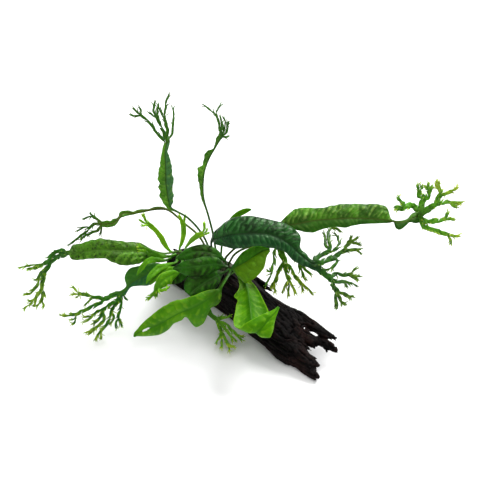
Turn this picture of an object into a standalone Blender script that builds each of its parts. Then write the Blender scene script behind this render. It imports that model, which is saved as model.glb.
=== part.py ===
"""Java fern of the crested form, growing from a rhizome on a splintered driftwood log.

Units are metres, +Z is up and the origin is in the middle of the log's flat underside. The log
runs from the back left to the front right, and the fronds spread to both sides of it.
"""

from math import atan2, ceil, copysign, cos, pi, radians, sin, sqrt

import bmesh
import bpy
from mathutils import Matrix, Vector

MM = 0.001

# The plant is laid out as it is seen from the front: a spot is a column and a row of a picture of
# 480 by 480 steps, one step being 0.65 mm on the plant, with its height above the floor in mm.
LAYOUT_STEP = 0.65 * MM
LAYOUT_MIDDLE = 240
ORIGIN_COLUMN, ORIGIN_ROW = 263, 328
VIEW_ELEVATION = radians(40)
VIEW_DISTANCE = 1.3
TOWARDS_VIEWER = Vector((0, -cos(VIEW_ELEVATION), sin(VIEW_ELEVATION)))

# Real sizes
ROOT_GAP = 0.5 * MM             # kept between a stalk and the round rhizome
FROND_THICKNESS = 0.6 * MM
STALK_HALF_WIDTH = 0.75         # mm
TWIG_HALF_WIDTH = 0.56          # mm, of a strand that carries one tip
TIP_HALF_WIDTH = 0.32           # mm, at the very end of a strand
FORK_SPREAD = 0.8               # width of a strand where it forks, as a share of its branches' widths
FORK_ROOM = 0.45                # a strand's half width at a fork, as a share of the way to its neighbour
BLADE_ARCH = 0.14               # rise of each half of a blade, as a share of its width
NARROW_BLADE = 4.5              # mm across, under which the halves of a blade are flat
RHIZOME_RADIUS = 2.6 * MM
LOG_TURN = radians(-44)         # of the log's length, seen from above
LOG_SIDES = 26                  # grain ridges and hollows round the log
LOG_ROUNDNESS = 0.75            # 1 is an ellipse, less is squarer
PRONG_SIDES = 16
PRONG_ROUNDNESS = 0.5
RIDGE_DEPTH = 0.06              # of the grain ridges, as a share of the log's radius

# Along the log in mm: place, front side, back side, underside and top. The front side is nearer
# the viewer.
TRUNK_SECTIONS = [
    (-80, -10, 4, 6, 18),
    (-76, -13, 7, 0, 22),
    (-66, -12, 10, -3, 25),
    (-50, -9.5, 13, -3, 28),
    (-36, -9.5, 14, -3, 29.2),
    (-22, -10.5, 14, -3, 28.4),
    (-9, -12, 13, -3, 27),
    (-4, -12.6, 13.6, -3, 26.2),
    (0, -13, 11.2, -3, 25),
    (10, -13.8, 13, -3, 23.2),
    (22, -15.5, 14.8, -3, 20.2),
    (31, -16.2, 15.6, -3, 17.8),
    (35.85, -15.8, 15.8, -3, 16.2),
]
PRONG_SECTIONS = {
    "driftwood_lower_prong": [
        (36.15, -15.6, -2.6, -3, 14.4),
        (40, -13.6, -2.8, -2, 12.8),
        (44, -12.8, -3.6, -1.5, 11.4),
        (47, -12.6, -5.2, -1, 10.2),
        (50.5, -12.8, -5.4, -0.6, 9),
        (53.4, -12.9, -6.0, 0.4, 7.8),
        (55, -12.9, -8.8, 0.8, 6.2),
        (57, -12.8, -9.8, 1.4, 4.6),
        (58.6, -12.0, -10.6, 2.2, 3.6),
    ],
    "driftwood_middle_prong": [
        (36.15, -0.8, 6.8, 9.6, 15.6),
        (40.5, -0.6, 7.6, 8.8, 14.4),
        (43.4, 1.9, 8.4, 8.4, 13.6),
        (46, 3.6, 9.8, 8.2, 12.8),
        (49.5, 5.9, 10.9, 7.6, 11.9),
        (53, 7.6, 11.2, 7.2, 10.2),
        (55.3, 9.3, 10.5, 7.3, 8.6),
    ],
    "driftwood_upper_prong": [
        (36.15, 10.6, 15.8, 11.4, 15.6),
        (40, 10.4, 15.9, 11.4, 15.0),
        (43.4, 10.6, 16.1, 11.0, 14.4),
        (46, 11.8, 16.5, 10.9, 13.8),
        (48, 13.6, 16.7, 11.3, 13.1),
        (49.8, 15.0, 16.0, 12.0, 12.8),
    ],
}

# Spots along the rhizome's middle, from its old end to its growing tip
RHIZOME_ROUTE = [
    (177, 254, 27.6), (190, 256.5, 31), (205, 260, 33.4), (220, 264.5, 34.4), (236, 270, 33.8),
]

# Each frond: where it leaves the rhizome (0 old end, 1 tip), the spots of its stalk, the stations
# of its blade (spot, then the widths left and right of the midrib in mm), how much nearer each
# margin comes for each mm of width, and its crest. A strand of the crest is the height of its end,
# its spots as (column, row), and the strands that it forks into.
FRONDS = {
    "frond_back_left": {
        "root": 0.56,
        "stalk": [(208, 246, 41), (200, 231, 52), (188, 218, 61), (177, 211.5, 67)],
        "blade": [
            (170, 207.5, 70, 1.6, 1.2), (168, 200, 75, 4.2, 3.9), (166.5, 190, 82, 4.6, 4.0),
            (165.5, 180, 90, 4.6, 5.2), (165.3, 170, 97, 4.2, 4.4), (165, 160, 104, 3.0, 3.4),
            (165, 150, 111, 1.8, 1.9), (166.5, 143, 116, 1.5, 2.2),
        ],
        "lean": (0.5, -0.2),
        "crest": [
            (131, [(161.5, 138), (156, 131.5), (151, 124.5), (141, 115.5)],
             (133, [(134, 116), (128.5, 113.5)]),
             (138, [(136, 111), (131.5, 106.5)]),
             (140, [(141, 110), (138, 105)])),
            (128, [(164, 133), (160, 124), (157, 118)],
             (133, [(152, 115), (147, 111)]),
             (143, [(153.5, 111), (154.5, 104), (156, 99)]),
             (141, [(157.5, 111), (158, 102)])),
            (130, [(168, 132), (166.3, 124), (165, 119)],
             (138, [(161.5, 113), (159, 106)]),
             (150, [(165, 111), (166.5, 101), (170, 91.5)])),
            (143, [(172, 134), (173.5, 122), (174, 113), (172, 104.5)]),
        ],
    },
    "frond_back_right": {
        "root": 0.7,
        "stalk": [(216, 252, 40), (213.5, 236, 52), (209, 218, 66), (206, 208, 74)],
        "blade": [
            (204.5, 203, 78, 1.0, 0.7), (203, 195, 84, 1.8, 0.7), (202.7, 188, 89, 1.9, 0.7),
            (203, 180, 95, 3.4, 0.7), (204, 172, 100, 3.9, 0.7), (206, 165, 105, 2.6, 0.7),
            (208.5, 159, 109, 2.9, 0.7), (211, 154, 112, 3.2, 0.7), (214, 149.5, 115, 0.9, 0.6),
            (216.5, 145, 118, 1.3, 0.6), (219, 140.5, 121, 2.0, 0.8), (221.5, 136.5, 124, 2.8, 1.1),
        ],
        "lean": (0.35, -2.4),
        "crest": [
            (140, [(220, 130), (218.5, 121), (216, 114)],
             (148, [(207, 107.5), (201, 103.5)]),
             (151, [(218, 109), (222.5, 102)])),
            (138, [(221.8, 129), (221.5, 120), (219.5, 114)]),
            (134, [(224, 130), (225, 121), (222.5, 115.5)]),
            (131, [(227, 131), (227.5, 125)],
             (136, [(226, 119)]),
             (134, [(230.5, 121)])),
            (124, [(227, 137), (230, 135)]),
        ],
    },
    "frond_thin_left": {
        "root": 0.47,
        "stalk": [(205, 247, 39), (197, 234, 48), (184, 223, 53), (174, 214, 58), (168, 210, 61)],
        "blade": [
            (162, 208.3, 64, 1.1, 1.1), (155, 208.5, 65, 1.2, 1.2), (149, 210, 65, 0.8, 0.8),
            (143, 210.8, 65, 1.2, 1.2), (138, 211.5, 65, 1.3, 1.2), (133, 213.3, 65, 1.0, 1.2),
            (127, 213, 65, 2.0, 1.9), (122, 214, 65, 2.2, 1.8), (119.3, 217.5, 64, 1.0, 0.9),
            (117, 220.5, 63, 1.2, 2.0), (113, 223.5, 62, 2.0, 2.4), (107, 224, 61, 2.3, 2.2),
            (102, 224, 60, 1.7, 1.7),
        ],
        "lean": (0.5, 0.3),
        "crest": [
            (60, [(97, 219.5), (93, 216.3)],
             (62, [(90.5, 214.5), (90, 211.5)]),
             (57, [(86, 218), (81, 220.5)])),
            (56, [(94, 224), (90, 227.5)],
             (52, [(83, 227.5), (79, 230), (75, 232.5)]),
             (46, [(86, 232), (80, 236), (74, 241), (66, 247)])),
            (54, [(98, 230), (92, 232.5), (88, 234.5)],
             (51, [(83, 236.8), (79, 243)]),
             (47, [(89.5, 238)])),
            (51, [(101, 230), (99.5, 238)]),
        ],
    },
    "frond_broad_left": {
        "root": 0.16,
        "stalk": [(179, 251.5, 35), (172, 252.5, 38), (165, 253.5, 40)],
        "blade": [
            (159, 253.8, 42, 1.4, 1.4), (150, 252.3, 45, 5.0, 2.4), (138, 251.3, 48, 8.2, 5.8),
            (127, 251, 50, 9.4, 6.0), (116, 250.5, 51, 8.4, 6.4), (105, 250, 51, 5.6, 7.2),
            (94, 250.8, 50, 5.2, 7.4), (83, 252.3, 48, 4.2, 6.0), (75, 253, 46, 4.2, 4.8),
            (70.5, 252.5, 45, 2.0, 2.6),
        ],
        "lean": (0.15, -0.35),
        "crest": [
            (36, [(62, 250.8), (56, 252), (50, 256.5), (45, 263)],
             (31, [(37, 265.3), (27, 266), (16.5, 268.5)]),
             (29, [(36, 268.5), (31, 268.3), (25, 270)])),
            (28, [(64, 254.5), (56, 257), (50, 262), (46, 270)],
             (20, [(41.5, 272.5), (38.5, 278)],
              (19, [(36, 280), (32.5, 279.5)]),
              (16, [(37, 286), (33, 290)],
               (15, [(28, 291)]),
               (13, [(30, 294), (21, 294.5)]))),
             (19, [(43.5, 277), (42, 284), (41.5, 289)],
              (11, [(38, 294), (35, 299)],
               (9, [(31, 301), (25, 301.5)]),
               (6, [(31, 304), (21.5, 310)]),
               (7, [(35, 304), (32, 308)])),
              (9, [(42.5, 295), (42, 300)],
               (6, [(38, 305), (34, 308)]),
               (5, [(44, 306), (41.5, 309.5)])),
              (13, [(44.5, 293), (45.5, 298.5)]))),
        ],
    },
    "frond_dark_left": {
        "root": 0.05,
        "stalk": [(175, 262.5, 30.5), (170, 264.7, 31)],
        "blade": [
            (165, 266.5, 31.6, 1.6, 1.6), (158, 269.2, 32.4, 4.8, 4.6), (150, 272.4, 33, 6.4, 5.8),
            (143, 275.7, 33, 7.2, 7.0), (136, 279.5, 32, 4.8, 8.2), (131, 283, 30.5, 3.0, 6.0),
            (128.5, 286.2, 29, 1.6, 1.7), (126, 289.5, 27.5, 1.6, 1.4), (122.5, 293, 26, 2.4, 2.0),
        ],
        "lean": (-0.3, 0.3),
        "crest": [
            (25, [(118, 293.5), (111, 296), (105, 299)],
             (25, [(98.5, 297.5), (93, 297)],
              (24, [(87, 295), (80, 293.8)],
               (23, [(75, 289), (71, 284.5)]),
               (21, [(74, 294), (68, 295)]),
               (20, [(78, 296.5), (74, 298)])),
              (17, [(87, 303), (83, 307)])),
             (16, [(99.5, 304), (88, 308.5), (77, 314)],
              (13, [(71, 314.5), (65, 316)],
               (12, [(58, 314)]),
               (13, [(64, 312)])),
              (11, [(75, 319)],
               (10, [(68, 320.5)]),
               (8, [(74, 323), (70, 326)])))),
            (18, [(117, 300), (109, 305.5), (103, 310)],
             (15, [(97, 311.5), (93, 315)],
              (14, [(86, 317), (80, 317.5)]),
              (12, [(88, 320.5), (80, 323)])),
             (11, [(100, 317), (96, 322)],
              (10, [(91, 321)]),
              (8, [(92, 327)])),
             (10, [(104, 316), (104, 321), (98, 326)],
              (7, [(90, 331), (83, 334.5)]),
              (6, [(92, 332), (87, 335.5)]))),
            (16, [(118, 301), (112, 309)],
             (9, [(110, 316), (107, 324), (101, 331)],
              (4, [(97.3, 335.5), (94, 342)]),
              (5, [(101, 337), (100.3, 341)])),
             (10, [(114, 318), (109, 326)])),
            (15, [(121, 301), (121, 307), (118.5, 315)],
             (8, [(116, 323), (116.5, 331)]),
             (9, [(119.5, 321), (123, 328.5)])),
            (23, [(125.5, 298.5), (129, 301)]),
        ],
    },
    "frond_young_1": {
        "root": 0.0,
        "stalk": [(171, 251.5, 33)],
        "blade": [
            (168.5, 249.5, 35, 0.8, 0.8), (165, 244.5, 38, 1.3, 1.2), (161, 237, 43, 1.5, 1.3),
            (156, 230.5, 47, 1.2, 1.1), (149, 224.5, 51, 1.3, 1.4),
        ],
        "lean": (0.3, 0.3),
        "crest": [
            (54, [(144, 226), (139.5, 225)]),
            (57, [(143, 222), (137.5, 219)]),
            (58, [(145.5, 219), (144, 216.5)],
             (60, [(140.5, 214)]),
             (61, [(143.5, 212)])),
        ],
    },
    "frond_young_2": {
        "root": 0.1,
        "stalk": [(179.5, 248, 36)],
        "blade": [
            (181.5, 243.5, 39, 0.9, 0.9), (183.5, 235, 45, 1.4, 1.3), (183.5, 226, 54, 1.4, 1.3),
            (182.5, 220, 59, 1.5, 1.5),
        ],
        "lean": (0.2, 0.2),
        "crest": [(62, [(179.5, 216.5), (178, 214)]), (63, [(184.8, 216.5), (186.5, 214)])],
    },
    "frond_young_3": {
        "root": 0.2,
        "stalk": [(185.5, 248.5, 38)],
        "blade": [
            (188, 244.5, 43, 0.8, 0.8), (193, 239, 49, 1.3, 1.3), (199, 235, 54, 1.5, 1.5),
            (203, 233.5, 56, 1.2, 1.2),
        ],
        "lean": (0.2, 0.2),
        "crest": [(60, [(206.5, 231), (207.5, 227)]), (56, [(207.5, 233.5), (211, 232)])],
    },
    "frond_young_4": {
        "root": 0.02,
        "stalk": [(170, 256, 35)],
        "blade": [
            (166, 256.5, 38, 0.9, 0.9), (160, 256, 43.5, 1.4, 1.1), (153, 253.5, 48.5, 1.8, 1.4),
            (148, 251.8, 53, 1.7, 1.7),
        ],
        "lean": (0.2, 0.2),
        "crest": [(59, [(142, 250.8), (136.5, 250)]), (61, [(142, 246.8), (135.5, 244.3)])],
    },
    "frond_young_5": {
        "root": 0.0,
        "stalk": [(169, 259, 32)],
        "blade": [
            (164, 260.5, 38, 0.8, 0.8), (158, 260.2, 45, 1.2, 1.3), (151, 260, 50, 1.5, 1.5),
            (146, 262.5, 50.5, 1.2, 1.4), (141.5, 268, 48, 1.2, 1.2), (138.5, 272.5, 45, 0.8, 0.8),
            (136.8, 275.5, 44, 0.3, 0.3),
        ],
        "lean": (0.2, 0.2),
        "crest": [],
    },
    "frond_young_6": {
        "root": 0.07,
        "stalk": [(176, 262.5, 37)],
        "blade": [
            (171, 264, 40.5, 0.8, 0.8), (164.5, 266, 43, 1.5, 1.4), (158, 268.7, 44, 2.0, 1.8),
            (153, 273, 43.5, 1.8, 1.6), (149, 278.5, 42, 1.2, 1.2), (146, 284, 40, 0.3, 0.3),
        ],
        "lean": (0.2, 0.2),
        "crest": [],
    },
    "frond_young_7": {
        "root": 0.25,
        "stalk": [(182, 268, 39)],
        "blade": [
            (178, 272, 41, 1.1, 1.1), (171, 275, 42, 2.8, 2.4), (165, 278.4, 41.5, 3.8, 3.0),
            (160.5, 282.8, 40, 3.0, 2.6), (157.5, 288, 38, 1.8, 1.6),
        ],
        "lean": (-0.2, 0.2),
        "crest": [
            (38, [(161, 291), (166, 289), (169.5, 285)]),
            (32, [(156.5, 294), (155.5, 299)]),
            (31, [(152.5, 294.5), (145, 301)]),
        ],
    },
    "frond_young_8": {
        "root": 0.165,
        "stalk": [(180, 266, 37)],
        "blade": [
            (175, 268, 38, 0.9, 0.9), (168, 270.3, 39.6, 1.6, 1.6), (160.5, 273.4, 40.6, 2.2, 2.0),
            (155, 278, 39.8, 1.8, 1.7), (151.3, 282.6, 38.4, 0.9, 0.9), (149.8, 285, 37.6, 0.3, 0.3),
        ],
        "lean": (0.2, 0.2),
        "crest": [],
    },
    "frond_centre_back": {
        "root": 0.83,
        "stalk": [(226, 262, 42)],
        "blade": [
            (222.5, 258.5, 45, 1.2, 1.0), (215, 254.5, 48, 4.6, 3.6), (206, 252, 49.5, 6.0, 4.8),
            (197, 252, 49.5, 6.0, 4.4), (188, 254, 48, 4.6, 3.6), (181, 257, 46, 2.2, 2.0),
            (177, 259, 44.5, 0.5, 0.5),
        ],
        "lean": (0.2, -0.5),
        "crest": [],
    },
    "frond_centre_upper": {
        "root": 0.87,
        "stalk": [(227, 266.5, 42)],
        "blade": [
            (224, 266, 46, 1.2, 1.2), (216, 264.5, 50, 4.4, 4.6), (206, 265, 52.5, 6.4, 5.6),
            (196, 266.5, 53, 6.6, 5.2), (186, 267.5, 52, 5.2, 4.4), (178, 268, 50, 2.4, 2.4),
            (173, 268.5, 48, 0.5, 0.5),
        ],
        "lean": (-0.25, -0.35),
        "crest": [],
    },
    "frond_centre_lower": {
        "root": 0.905,
        "stalk": [(225.5, 271.5, 39)],
        "blade": [
            (222, 273, 40, 1.4, 1.4), (215, 276.5, 42, 5.4, 5.6), (207, 281, 42, 7.4, 8.4),
            (199.5, 286, 41, 7.6, 9.4), (193, 291, 39.5, 5.4, 8.0), (189, 295.5, 38, 1.8, 3.4),
        ],
        "lean": (-0.3, -0.35),
        "crest": [],
    },
    "frond_centre_left": {
        "root": 0.35,
        "stalk": [(193.5, 262.5, 34.8)],
        "blade": [
            (190, 265.6, 33.6, 1.2, 1.0), (184, 270.4, 32.6, 4.4, 2.8), (177.5, 273.8, 31.8, 6.0, 3.4),
            (171, 277, 30.8, 5.4, 3.8), (166, 280.6, 29.6, 3.4, 2.8), (163, 283.8, 28.8, 0.8, 0.8),
        ],
        "lean": (-0.1, -0.2),
        "crest": [],
    },
    "frond_front_left": {
        "root": 0.94,
        "stalk": [(228.5, 275, 40), (225.5, 280.5, 43), (221.5, 287, 43)],
        "blade": [
            (220, 289.6, 41.6, 1.2, 1.1), (217, 292.7, 40.8, 4.2, 2.8), (212.5, 296.2, 39.6, 6.4, 4.6),
            (205.5, 300.6, 37.8, 6.2, 5.8), (199.5, 304.1, 36.2, 8.8, 6.6), (194.5, 306.7, 34.9, 11.0, 7.0),
            (190, 308.6, 33.7, 11.4, 7.2), (186.6, 310, 32.9, 9.6, 7.5), (184.4, 310.9, 32.3, 4.2, 7.8),
            (178, 313.6, 30.5, 5.0, 8.6), (170, 318, 28, 4.4, 8.6),
            (163, 322, 25.5, 6.2, 8.0), (155, 326, 23, 6.2, 7.0), (147, 329, 20.5, 5.2, 5.2),
            (140, 331.7, 18.5, 3.4, 2.6), (135.5, 334.5, 17, 1.6, 1.4), (134, 337, 16, 0.4, 0.4),
        ],
        "lean": (-0.45, 0.15),
        "crest": [],
    },
    "frond_front_right": {
        "root": 0.97,
        "stalk": [(232.8, 270, 38)],
        "blade": [
            (232.2, 268.6, 42.4, 1.1, 1.6), (234, 267.6, 44, 1.8, 7.6), (236.8, 266.2, 45.6, 3.0, 12.2),
            (240.5, 264.4, 47.5, 4.6, 12.4), (246, 261.4, 50, 6.0, 12.0), (252, 257.4, 52.5, 6.2, 10.8),
            (258, 253.4, 54.5, 5.4, 8.8), (264, 250.6, 56, 3.4, 5.0), (270, 249.4, 57, 0.9, 1.2),
        ],
        "lean": (0.1, 0.25),
        "crest": [],
    },
    "frond_arching": {
        "root": 0.63,
        "stalk": [(214, 254, 41), (211.5, 247, 49)],
        "blade": [
            (212, 241, 57, 1.2, 1.1), (217, 238.8, 62, 4.6, 4.6), (224, 236.4, 66, 7.6, 7.2),
            (232, 234.8, 69, 10.0, 9.0), (242, 234, 71, 11.4, 9.0), (252, 233.8, 72, 11.4, 8.0),
            (262, 234, 72, 10.2, 7.8), (272, 235.3, 71, 9.8, 8.2), (280, 238.4, 69.2, 10.0, 7.2),
            (287, 242.6, 66.6, 9.8, 6.0), (292, 246.6, 64.2, 8.2, 5.6), (295.5, 250, 62.4, 4.0, 5.8),
            (299, 253.4, 60.6, 2.8, 6.0), (303, 257, 58.8, 3.2, 5.2), (307, 260.4, 57, 2.2, 4.6),
            (311, 263.4, 55.4, 2.4, 3.2),
        ],
        "lean": (-0.45, 0.1),
        "crest": [
            (55, [(317, 257.5), (324, 253.5), (331, 250)],
             (54, [(325.5, 246), (325, 236), (322.5, 230)]),
             (56, [(329, 241), (328, 232.5), (331, 227.6), (337, 229), (343, 233)]),
             (56, [(337, 249), (340, 243), (337.5, 236), (331.5, 231)])),
            (52, [(320.5, 262.5), (329, 259), (335.5, 256.8)],
             (52, [(339, 254), (342, 251.5)],
              (54, [(346, 246), (349, 243)],
               (58, [(351, 238), (352.5, 234)]),
               (56, [(355, 239.5), (360, 236)]),
               (53, [(356, 243.5), (363, 245.5)])),
              (50, [(350, 250.3), (356, 249.5)],
               (50, [(364, 249)]),
               (47, [(360, 252.5), (363, 255.5)]))),
             (49, [(337.4, 260.6), (334.6, 265), (331, 268.6)],
              (47, [(326.5, 270), (321.5, 269)]),
              (47.5, [(333.8, 271.5)]))),
            (47, [(317, 268), (324, 273), (330, 279)],
             (46, [(335, 273.5), (343, 275.5), (349, 274)],
              (50, [(354, 270), (359, 265.5)]),
              (44, [(356, 276.5), (363, 276)]),
              (42, [(356, 278.8), (360, 280.5)])),
             (41, [(336, 282), (344, 281.5)],
              (36, [(351, 283), (359, 287.5)]),
              (36, [(346, 285), (348, 289)])),
             (35, [(333, 286), (337.5, 291)],
              (35, [(343, 293.5), (349, 296)],
               (35, [(356, 297)]),
               (33, [(352, 301)])),
              (28, [(339, 298), (341, 302)],
               (26, [(345, 303.5), (347, 306)]),
               (25, [(342, 307)])),
              (27, [(335.5, 298), (336.5, 303)],
               (24, [(333.5, 309)]),
               (23, [(336.5, 311)])))),
        ],
    },
    "frond_long_right": {
        "root": 0.79,
        "stalk": [(227, 256, 40), (238, 246, 49), (255, 236, 58), (271, 228, 63.5)],
        "blade": [
            (279, 225.5, 65, 1.4, 1.2), (287, 225, 66, 6.0, 2.2), (295, 224.5, 67, 9.4, 3.6),
            (304, 222.6, 68, 9.8, 6.4), (313, 220.8, 69, 8.6, 7.4), (323, 219.8, 70, 7.8, 5.8),
            (334, 219.2, 70.5, 9.0, 5.0), (345, 218.6, 70.5, 9.5, 5.8), (357, 218.4, 70, 9.4, 4.2),
            (369, 218.9, 69, 9.7, 3.2), (380, 219.6, 68, 9.6, 2.5), (386, 220.3, 67.5, 8.0, 1.9),
            (390, 221, 67, 2.2, 1.3), (394, 221.3, 66.7, 0.7, 0.7), (398.5, 222.8, 66.4, 1.4, 4.6),
            (404, 222.2, 66, 1.4, 2.8), (409, 220.3, 66, 1.6, 1.4), (413.5, 218.3, 66, 3.2, 3.6),
            (418, 216.3, 66, 3.2, 4.0),
        ],
        "lean": (-0.3, 0.2),
        "crest": [
            (71, [(415.5, 206.5), (411, 205), (407.5, 206)],
             (73, [(403, 206.5), (397, 207), (392, 208.5)]),
             (79, [(402.5, 203), (398.5, 199), (396.5, 194.5)]),
             (69, [(403, 209.8), (399, 209.2), (394.5, 211.5)])),
            (78, [(421, 208.5), (422, 202.5)],
             (83, [(419.3, 197), (419.5, 191)],
              (90, [(418, 187), (417, 182)]),
              (89, [(422, 188), (420, 183)]),
              (86, [(416, 190)])),
             (80, [(424, 197.5), (422.7, 192.5)]),
             (84, [(427.5, 198), (429.5, 191)],
              (89, [(425.5, 187.5), (422.5, 185)]),
              (91, [(428.5, 186), (427.5, 181)]),
              (88, [(432, 188), (433.5, 184.5)]))),
            (76, [(425.5, 211), (433, 206)],
             (80, [(437, 200.5), (440, 196)],
              (89, [(439.5, 190), (437.5, 184)],
               (94, [(435, 178.5)]),
               (93, [(438, 179.5)]),
               (92, [(441, 181.5)])),
              (82, [(446, 193.5), (452, 191.3)],
               (85, [(456, 188.5), (459, 185.5)]),
               (81, [(453, 194)]))),
             (73, [(440, 203), (448, 202)],
              (73, [(455, 202.6), (459, 202.2), (463.5, 204)]),
              (71, [(453, 205.5), (459.5, 208)]))),
            (63, [(427, 221.5), (436, 221.3), (444, 219)],
             (65, [(447, 214.5), (450.5, 211)]),
             (61, [(450, 219), (457, 219.3)])),
            (57, [(424, 226.5), (430, 229), (439, 231.5), (447, 234.3)],
             (55, [(454, 236), (462, 236.2)]),
             (52, [(450.5, 240), (450.8, 246.5)])),
        ],
    },
    "frond_bright_top": {
        "root": 0.74,
        "stalk": [(221, 255, 38.5), (222.5, 240, 48), (227, 226, 59)],
        "blade": [
            (230, 220.5, 64, 0.9, 0.9), (235, 216.5, 66, 1.7, 1.6), (241, 213, 68, 2.0, 1.8),
            (247, 210.5, 69.5, 1.6, 1.4), (251.5, 209.3, 70.5, 0.4, 0.4),
        ],
        "lean": (0.3, 0.2),
        "crest": [],
    },
    "frond_hanging": {
        "root": 0.88,
        "stalk": [(229.5, 262.5, 40), (234, 255, 45), (241, 250, 48), (251, 246.5, 50)],
        "blade": [
            (258, 245, 51, 1.6, 1.6), (265, 243.5, 52, 2.8, 2.6), (272, 243.5, 52, 3.4, 3.0),
            (278, 245, 51.5, 3.0, 2.6),
        ],
        "lean": (0.1, -0.2),
        "crest": [
            (47, [(285, 247.5), (290, 252), (297, 260)],
             (40, [(300, 268), (303, 275)],
              (36, [(307.5, 282)]),
              (38, [(301, 279)])),
             (43, [(305, 269.5), (313, 275.5)])),
            (44, [(281.5, 253), (284.5, 260)],
             (34, [(289, 266.5), (294, 275), (300, 282)],
              (28, [(302, 288), (304.5, 293.5)]),
              (27, [(306.5, 287.5), (314, 296)])),
             (33, [(285.8, 269.5), (288.5, 279)],
              (27, [(292, 286), (297, 296.5)]),
              (25, [(288.5, 288), (288, 299)]),
              (26, [(286, 284), (282, 294.5)])),
             (34, [(282, 265), (277.5, 273), (276, 280)],
              (28, [(274, 288), (277.5, 294.5)]),
              (28, [(272, 285), (271, 290.5)]))),
            (44, [(274.5, 251), (274.5, 262), (271.5, 272)],
             (44, [(265, 270)]),
             (32, [(269, 279), (264.5, 288)])),
        ],
    },
    "frond_small_front": {
        "root": 0.98,
        "stalk": [(225.5, 279, 34), (217, 291, 30), (208, 301, 24)],
        "blade": [
            (206, 306, 20, 1.2, 1.2), (207.5, 311, 16.5, 2.4, 1.8), (211.5, 315.5, 13.5, 1.4, 1.4),
            (215, 318, 12, 1.6, 1.6),
        ],
        "lean": (0.2, 0.2),
        "crest": [
            (13, [(222.5, 317.6), (228, 317), (233, 314.6)]),
            (8.5, [(224.5, 323), (231, 329.5), (236.5, 334.5)],
             (7.5, [(241, 336.2), (246, 337.5)]),
             (6.5, [(240, 338.5), (243, 342.3)])),
            (7, [(222, 324.8), (226.8, 330.8), (231, 336.5)],
             (5.5, [(235, 339.5), (237.5, 342.5)]),
             (5, [(233, 344.5)])),
            (6.5, [(218.4, 323.5), (220.6, 329.5)],
             (5, [(223.8, 336), (226.5, 341.5)],
              (4, [(231, 345.8), (237, 347)]),
              (3.5, [(228.8, 347.5), (230.8, 354)])),
             (5.5, [(220.8, 335.5)],
              (4, [(221.8, 343), (221.5, 351)]),
              (4.5, [(217.4, 340), (215.5, 345.5)]))),
        ],
    },
}

# The leaf whose end is folded up over itself, as rows of spots: right margin, midrib, left margin.
# Its crease runs along the bottom, and past it the leaf turns up towards the right.
FOLDED_ROWS = [
    ((239.4, 273.2, 35.6), (238.2, 274.2, 36), (237, 275.2, 35.6)),
    ((246.5, 276.5, 34.4), (242, 278.6, 35.6), (238.5, 280.6, 34.6)),
    ((253, 283, 34.4), (246, 284.6, 36), (239.5, 286.2, 34.8)),
    ((258, 289.5, 34.6), (247.6, 290.6, 36.4), (237, 291.6, 35)),
    ((260.8, 294.5, 34.6), (248.4, 295.6, 36.4), (233.8, 296.4, 35)),
    ((263, 299, 34.4), (249, 299.8, 36.2), (237.6, 300.2, 35.2)),
    ((265.4, 304, 33.8), (249.6, 304.4, 36), (236.2, 304.8, 35)),
    ((268.6, 311.2, 32.8), (250.4, 310.4, 35.4), (235.2, 311.4, 34.8)),
    ((271.5, 323, 31), (251.5, 319.4, 34.2), (233.4, 320.8, 34)),
    ((272, 331.5, 30), (253.5, 327.4, 33), (235, 326.6, 33.2)),
    ((270.6, 337, 30.8), (256, 332.6, 33.4), (240, 327.6, 34.8)),
    ((273.2, 331, 34.2), (262, 327.4, 37), (246.5, 322.6, 38.8)),
    ((275.2, 320, 38.8), (269.5, 318.8, 40.4), (261.5, 314.8, 41.4)),
    ((278, 311.8, 42.4), (276.2, 311.2, 42.8), (273.6, 309.6, 43)),
    ((279.8, 307.6, 43.6), (278.8, 307, 43.8), (277.6, 306.2, 43.6)),
]
FOLDED_STALK = [(237, 273, 36.2)]
FOLDED_ROOT = 1.0

COLORS = {
    "driftwood": (0.012, 0.008, 0.006),
    "rhizome": (0.05, 0.06, 0.02),
    "dark_leaf": (0.015, 0.07, 0.02),
    "green_leaf": (0.06, 0.20, 0.02),
    "bright_leaf": (0.16, 0.38, 0.02),
}
DARK_FRONDS = ("frond_arching", "frond_dark_left", "frond_centre")
BRIGHT_FRONDS = ("frond_front", "frond_folded", "frond_bright_top", "frond_young")


def clear_scene():
    for old in list(bpy.data.objects):
        bpy.data.objects.remove(old, do_unlink=True)


def plain_material(name, color, roughness):
    material = bpy.data.materials.new(name)
    material.use_nodes = True
    shader = material.node_tree.nodes["Principled BSDF"]
    shader.inputs["Base Color"].default_value = (*color, 1)
    shader.inputs["Roughness"].default_value = roughness
    shader.inputs["Metallic"].default_value = 0
    return material


def add_piece(name, bm, collection, material):
    """Makes a finished mesh the named object of one piece."""
    mesh = bpy.data.meshes.new(name)
    bm.to_mesh(mesh)
    bm.free()
    mesh.materials.append(material)
    piece = bpy.data.objects.new(name, mesh)
    collection.objects.link(piece)
    return piece


# --- Layout -------------------------------------------------------------------------------------

def spot(column, row, height):
    """The place seen at a column and row of the layout, at a height in mm above the floor."""
    z = height * MM
    lift = (ORIGIN_ROW - LAYOUT_MIDDLE) * LAYOUT_STEP
    up = (LAYOUT_MIDDLE - row) * LAYOUT_STEP
    slope = sin(VIEW_ELEVATION) - up * cos(VIEW_ELEVATION) / VIEW_DISTANCE
    towards = (z - (up + lift) * cos(VIEW_ELEVATION)) / slope
    nearer = 1 - towards / VIEW_DISTANCE
    middle = (LAYOUT_MIDDLE - ORIGIN_COLUMN) * LAYOUT_STEP
    across = (column - LAYOUT_MIDDLE) * LAYOUT_STEP * nearer + middle
    up_view = up * nearer + lift
    return Vector((across, up_view * sin(VIEW_ELEVATION) - towards * cos(VIEW_ELEVATION), z))


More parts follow.
